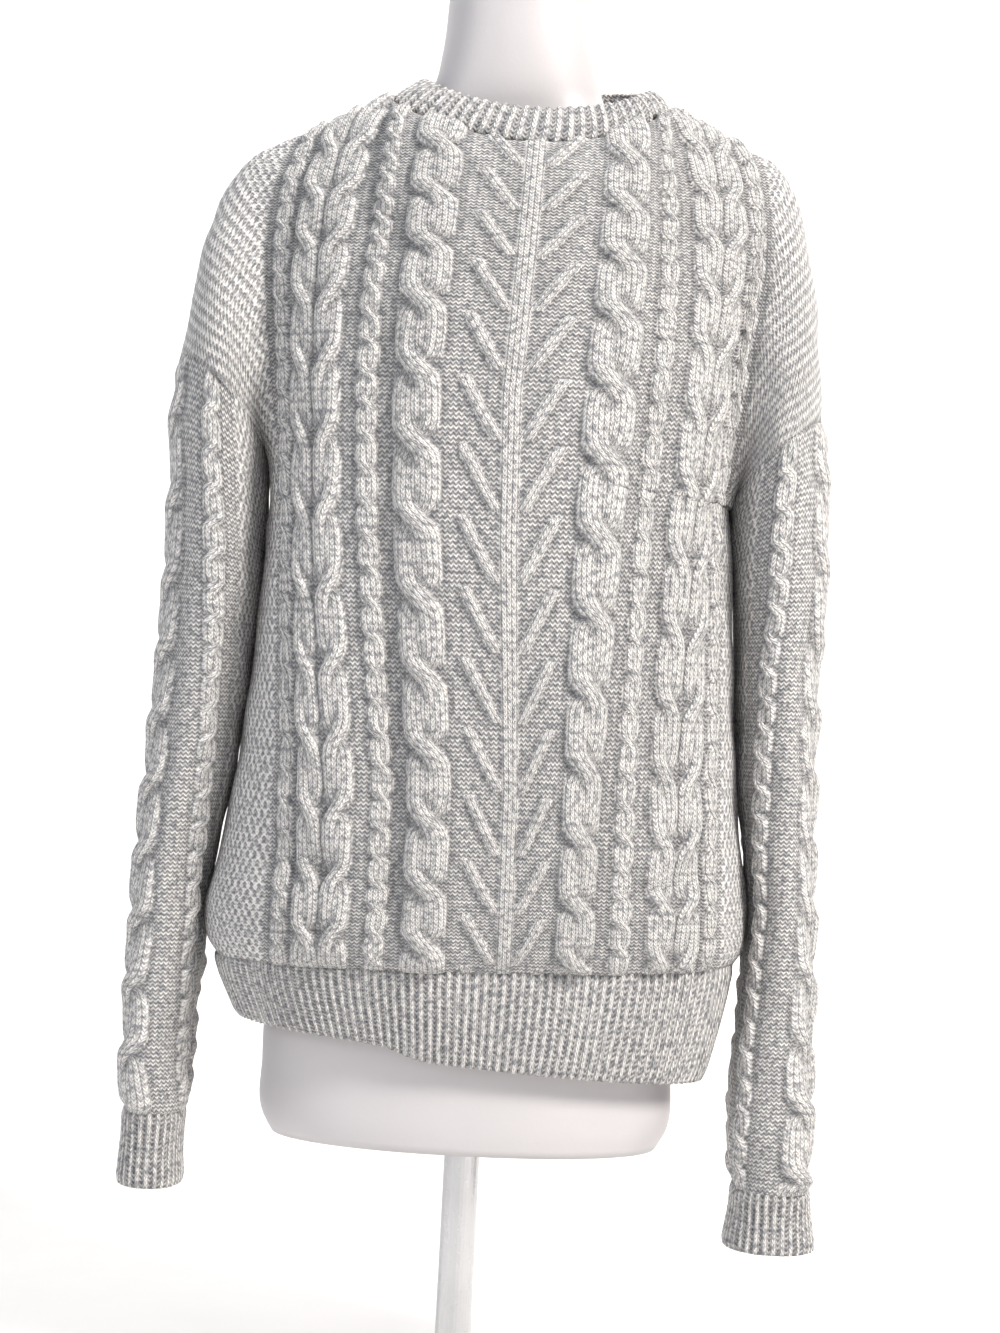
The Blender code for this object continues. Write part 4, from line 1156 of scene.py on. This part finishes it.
def yarn_material(name):
    """Marled wool, its stitches drawn from the stitch coordinates, with shade painted into its colour at
    low stitches, in hollows and on the purl ground.
    """
    material, tree, shader = new_material(name, YARN_ROUGHNESS)
    place = tree.nodes.new("ShaderNodeUVMap")
    place.uv_map = "stitch"
    parts = tree.nodes.new("ShaderNodeSeparateXYZ")
    tree.links.new(place.outputs[0], parts.inputs[0])
    knit_share = attribute(tree, "knit")
    height = stitch_height(tree, parts.outputs[0], parts.outputs[1], knit_share, attribute(tree, "moss"))
    object_place = tree.nodes.new("ShaderNodeTexCoord").outputs["Object"]
    fuzz = noise(tree, object_place, FUZZ_SCALE, 0.0)
    bump(tree, scaled(tree, fuzz, FUZZ_SHARE, height), shader, STITCH_DEPTH)
    stretch = tree.nodes.new("ShaderNodeVectorMath")
    stretch.operation = "MULTIPLY"
    stretch.inputs[1].default_value = MARL_STRETCH
    tree.links.new(place.outputs[0], stretch.inputs[0])
    marl = between(tree, noise(tree, stretch.outputs[0], 1.0, MARL_DETAIL), MARL_FROM, MARL_TO)
    # Painted shade: the yarn is mixed towards the painted shade colour where the stitches sit low, where
    # the cloth lies in a hollow, and on the purl ground.
    painted_shading = scaled(tree, between(tree, height, STITCH_SHADE_FROM, STITCH_SHADE_TO), 1 - STITCH_SHADE_LEAST, STITCH_SHADE_LEAST)
    deep = between(tree, attribute(tree, "relief"), HOLLOW_SHADE_FROM, HOLLOW_SHADE_TO)
    painted_shading = times(tree, painted_shading, scaled(tree, deep, 1 - HOLLOW_SHADE_LEAST, HOLLOW_SHADE_LEAST))
    painted_shading = times(tree, painted_shading, scaled(tree, knit_share, KNIT_PAINTED_LIGHT, PURL_PAINTED_SHADE))
    yarn = blend_colours(tree, marl, YARN_DARK, YARN_LIGHT)
    tree.links.new(blend_colours(tree, painted_shading, PAINTED_SHADE_COLOUR, yarn), shader.inputs["Base Color"])
    shader.inputs["Sheen Weight"].default_value = YARN_SHEEN
    shader.inputs["Sheen Roughness"].default_value = YARN_SHEEN_ROUGHNESS
    shader.inputs["Specular IOR Level"].default_value = YARN_SPECULAR
    return material


def finish_material(name):
    """A hard finish with a faint grain."""
    colour, dark, roughness, metallic, scale, depth = FINISHES[name]
    material, tree, shader = new_material(name, roughness)
    object_place = tree.nodes.new("ShaderNodeTexCoord").outputs["Object"]
    grain = noise(tree, object_place, scale, 3.0)
    slow = between(tree, noise(tree, object_place, SLOW_SCALE, 2.0), 0.3, 0.7)
    tree.links.new(blend_colours(tree, slow, dark, colour), shader.inputs["Base Color"])
    varied = scaled(tree, grain, GRAIN_ROUGHNESS, roughness - GRAIN_ROUGHNESS / 2)
    tree.links.new(varied, shader.inputs["Roughness"])
    shader.inputs["Metallic"].default_value = metallic
    bump(tree, grain, shader, depth, GRAIN_BUMP)
    return material


# ---- stage, light and camera -------------------------------------------------
FLOOR_FRONT = -3.0
WALL_Y = 1.1
WALL_TURN = 0.6           # radius of the backdrop's curve
WALL_STEPS = 12
STAGE_HALF = 3.0
STAGE_TOP = 3.4
STAGE_SINK = 0.0005       # the floor lies just under the base plate
# Columns: name, place, target, size, power, colour.
LIGHTS = [
    ("key", (1.7, -1.7, 2.2), (0.0, 0.0, 0.6), 0.8, 112.0, (1.0, 0.955, 0.90)),
    ("fill", (-2.2, -1.8, 1.2), (0.0, 0.0, 0.5), 1.4, 22.0, (0.88, 0.94, 1.0)),
    ("sweep", (0.0, 0.3, 3.0), (0.0, 0.8, 0.4), 2.0, 30.0, (1.0, 1.0, 1.0)),
    ("rear", (-1.2, 2.6, 2.2), (0.0, 0.0, 0.6), 1.2, 45.0, (0.96, 0.98, 1.0)),
]
ROOM_COLOUR = (0.95, 0.96, 1.0)
ROOM_STRENGTH = 0.46
CAMERA_PLACE = (0.0077, -2.0, 0.52)
CAMERA_ROLL = math.radians(-3.0)
CAMERA_SENSOR = 36.0      # millimetres, as the lens is
CAMERA_LENS = 77.2


def one_sided(material):
    """Lets the backdrop be seen through from behind."""
    tree = material.node_tree
    clear = tree.nodes.new("ShaderNodeBsdfTransparent")
    mix = tree.nodes.new("ShaderNodeMixShader")
    facing = tree.nodes.new("ShaderNodeNewGeometry").outputs["Backfacing"]
    tree.links.new(facing, mix.inputs[0])
    tree.links.new(tree.nodes["Principled BSDF"].outputs[0], mix.inputs[1])
    tree.links.new(clear.outputs[0], mix.inputs[2])
    tree.links.new(mix.outputs[0], tree.nodes["Material Output"].inputs["Surface"])
    return material


def add_stage(material):
    """A floor that curves up into the wall behind."""
    profile = [(FLOOR_FRONT, 0.0)]
    for k in range(WALL_STEPS + 1):
        angle = math.pi / 2 * k / WALL_STEPS
        y = WALL_Y - WALL_TURN + WALL_TURN * math.sin(angle)
        profile.append((y, WALL_TURN * (1 - math.cos(angle))))
    profile.append((WALL_Y, STAGE_TOP))
    points = [(x, y, z - STAGE_SINK) for y, z in profile for x in (-STAGE_HALF, STAGE_HALF)]
    faces = [(2 * k, 2 * k + 1, 2 * k + 3, 2 * k + 2) for k in range(len(profile) - 1)]
    add_object("backdrop", points, faces, [True] * len(faces), material)


def add_light(name, place, target, size, power, colour):
    lamp = bpy.data.lights.new(name, "AREA")
    lamp.shape = "SQUARE"
    lamp.size = size
    lamp.energy = power
    lamp.color = colour
    made = bpy.data.objects.new(name, lamp)
    made.location = place
    made.rotation_euler = (Vector(target) - Vector(place)).to_track_quat("-Z", "Y").to_euler()
    bpy.context.scene.collection.objects.link(made)


def add_room():
    """The soft light from all round."""
    world = bpy.data.worlds.new("room")
    world.use_nodes = True
    background = world.node_tree.nodes["Background"]
    background.inputs["Color"].default_value = (*ROOM_COLOUR, 1.0)
    background.inputs["Strength"].default_value = ROOM_STRENGTH
    bpy.context.scene.world = world
    bpy.context.scene.view_settings.view_transform = "Standard"


def add_camera():
    lens = bpy.data.cameras.new("camera")
    lens.sensor_width = CAMERA_SENSOR
    lens.lens = CAMERA_LENS
    camera = bpy.data.objects.new("camera", lens)
    camera.location = CAMERA_PLACE
    camera.rotation_euler = (math.pi / 2, CAMERA_ROLL, 0.0)
    bpy.context.scene.collection.objects.link(camera)
    bpy.context.scene.camera = camera


def add_garment():
    """The nine pieces of the sweater."""
    yarn = yarn_material("wool")
    rib = yarn_material("rib_wool")
    add_panel("front_panel", -1, yarn)
    add_panel("back_panel", 1, yarn)
    column = np.linspace(0, COLUMNS, COLUMNS * HEM_FINE[0] + 1)
    downs = np.linspace(0, 1, HEM_FINE[1] + 1)
    for name, side, panel in (("hem_rib_front", -1, "front_panel"), ("hem_rib_back", 1, "back_panel")):
        grid = np.array([hem_row(down, side, column) for down in downs])
        add_rib(name, grid, False, side < 0, RIB_PITCH, rib)
    add_sleeve("sleeve_right", RIGHT_SLEEVE, RIGHT_SLEEVE_FOLDS, False, yarn)
    add_sleeve("sleeve_left", LEFT_SLEEVE, LEFT_SLEEVE_FOLDS, True, yarn)
    for side, sections, flip in (("right", RIGHT_CUFF, False), ("left", LEFT_CUFF, True)):
        grid = tube(sections, CUFF_FINE[1], CUFF_FINE[0])
        add_rib("cuff_" + side, grid, True, flip, RIB_PITCH, rib)
    add_rib("neck_rib", neck_band(*NECK_FINE), True, False, NECK_PITCH, rib,
            courses_run=1)


def main():
    add_garment()
    add_form(finish_material("form_shell"))
    for node, finish in CAD_FINISHES.items():
        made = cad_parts[node]
        made.data.materials.clear()
        made.data.materials.append(finish_material(finish))
    add_stage(one_sided(finish_material("backdrop_paper")))
    for light in LIGHTS:
        add_light(*light)
    add_room()
    add_camera()


main()
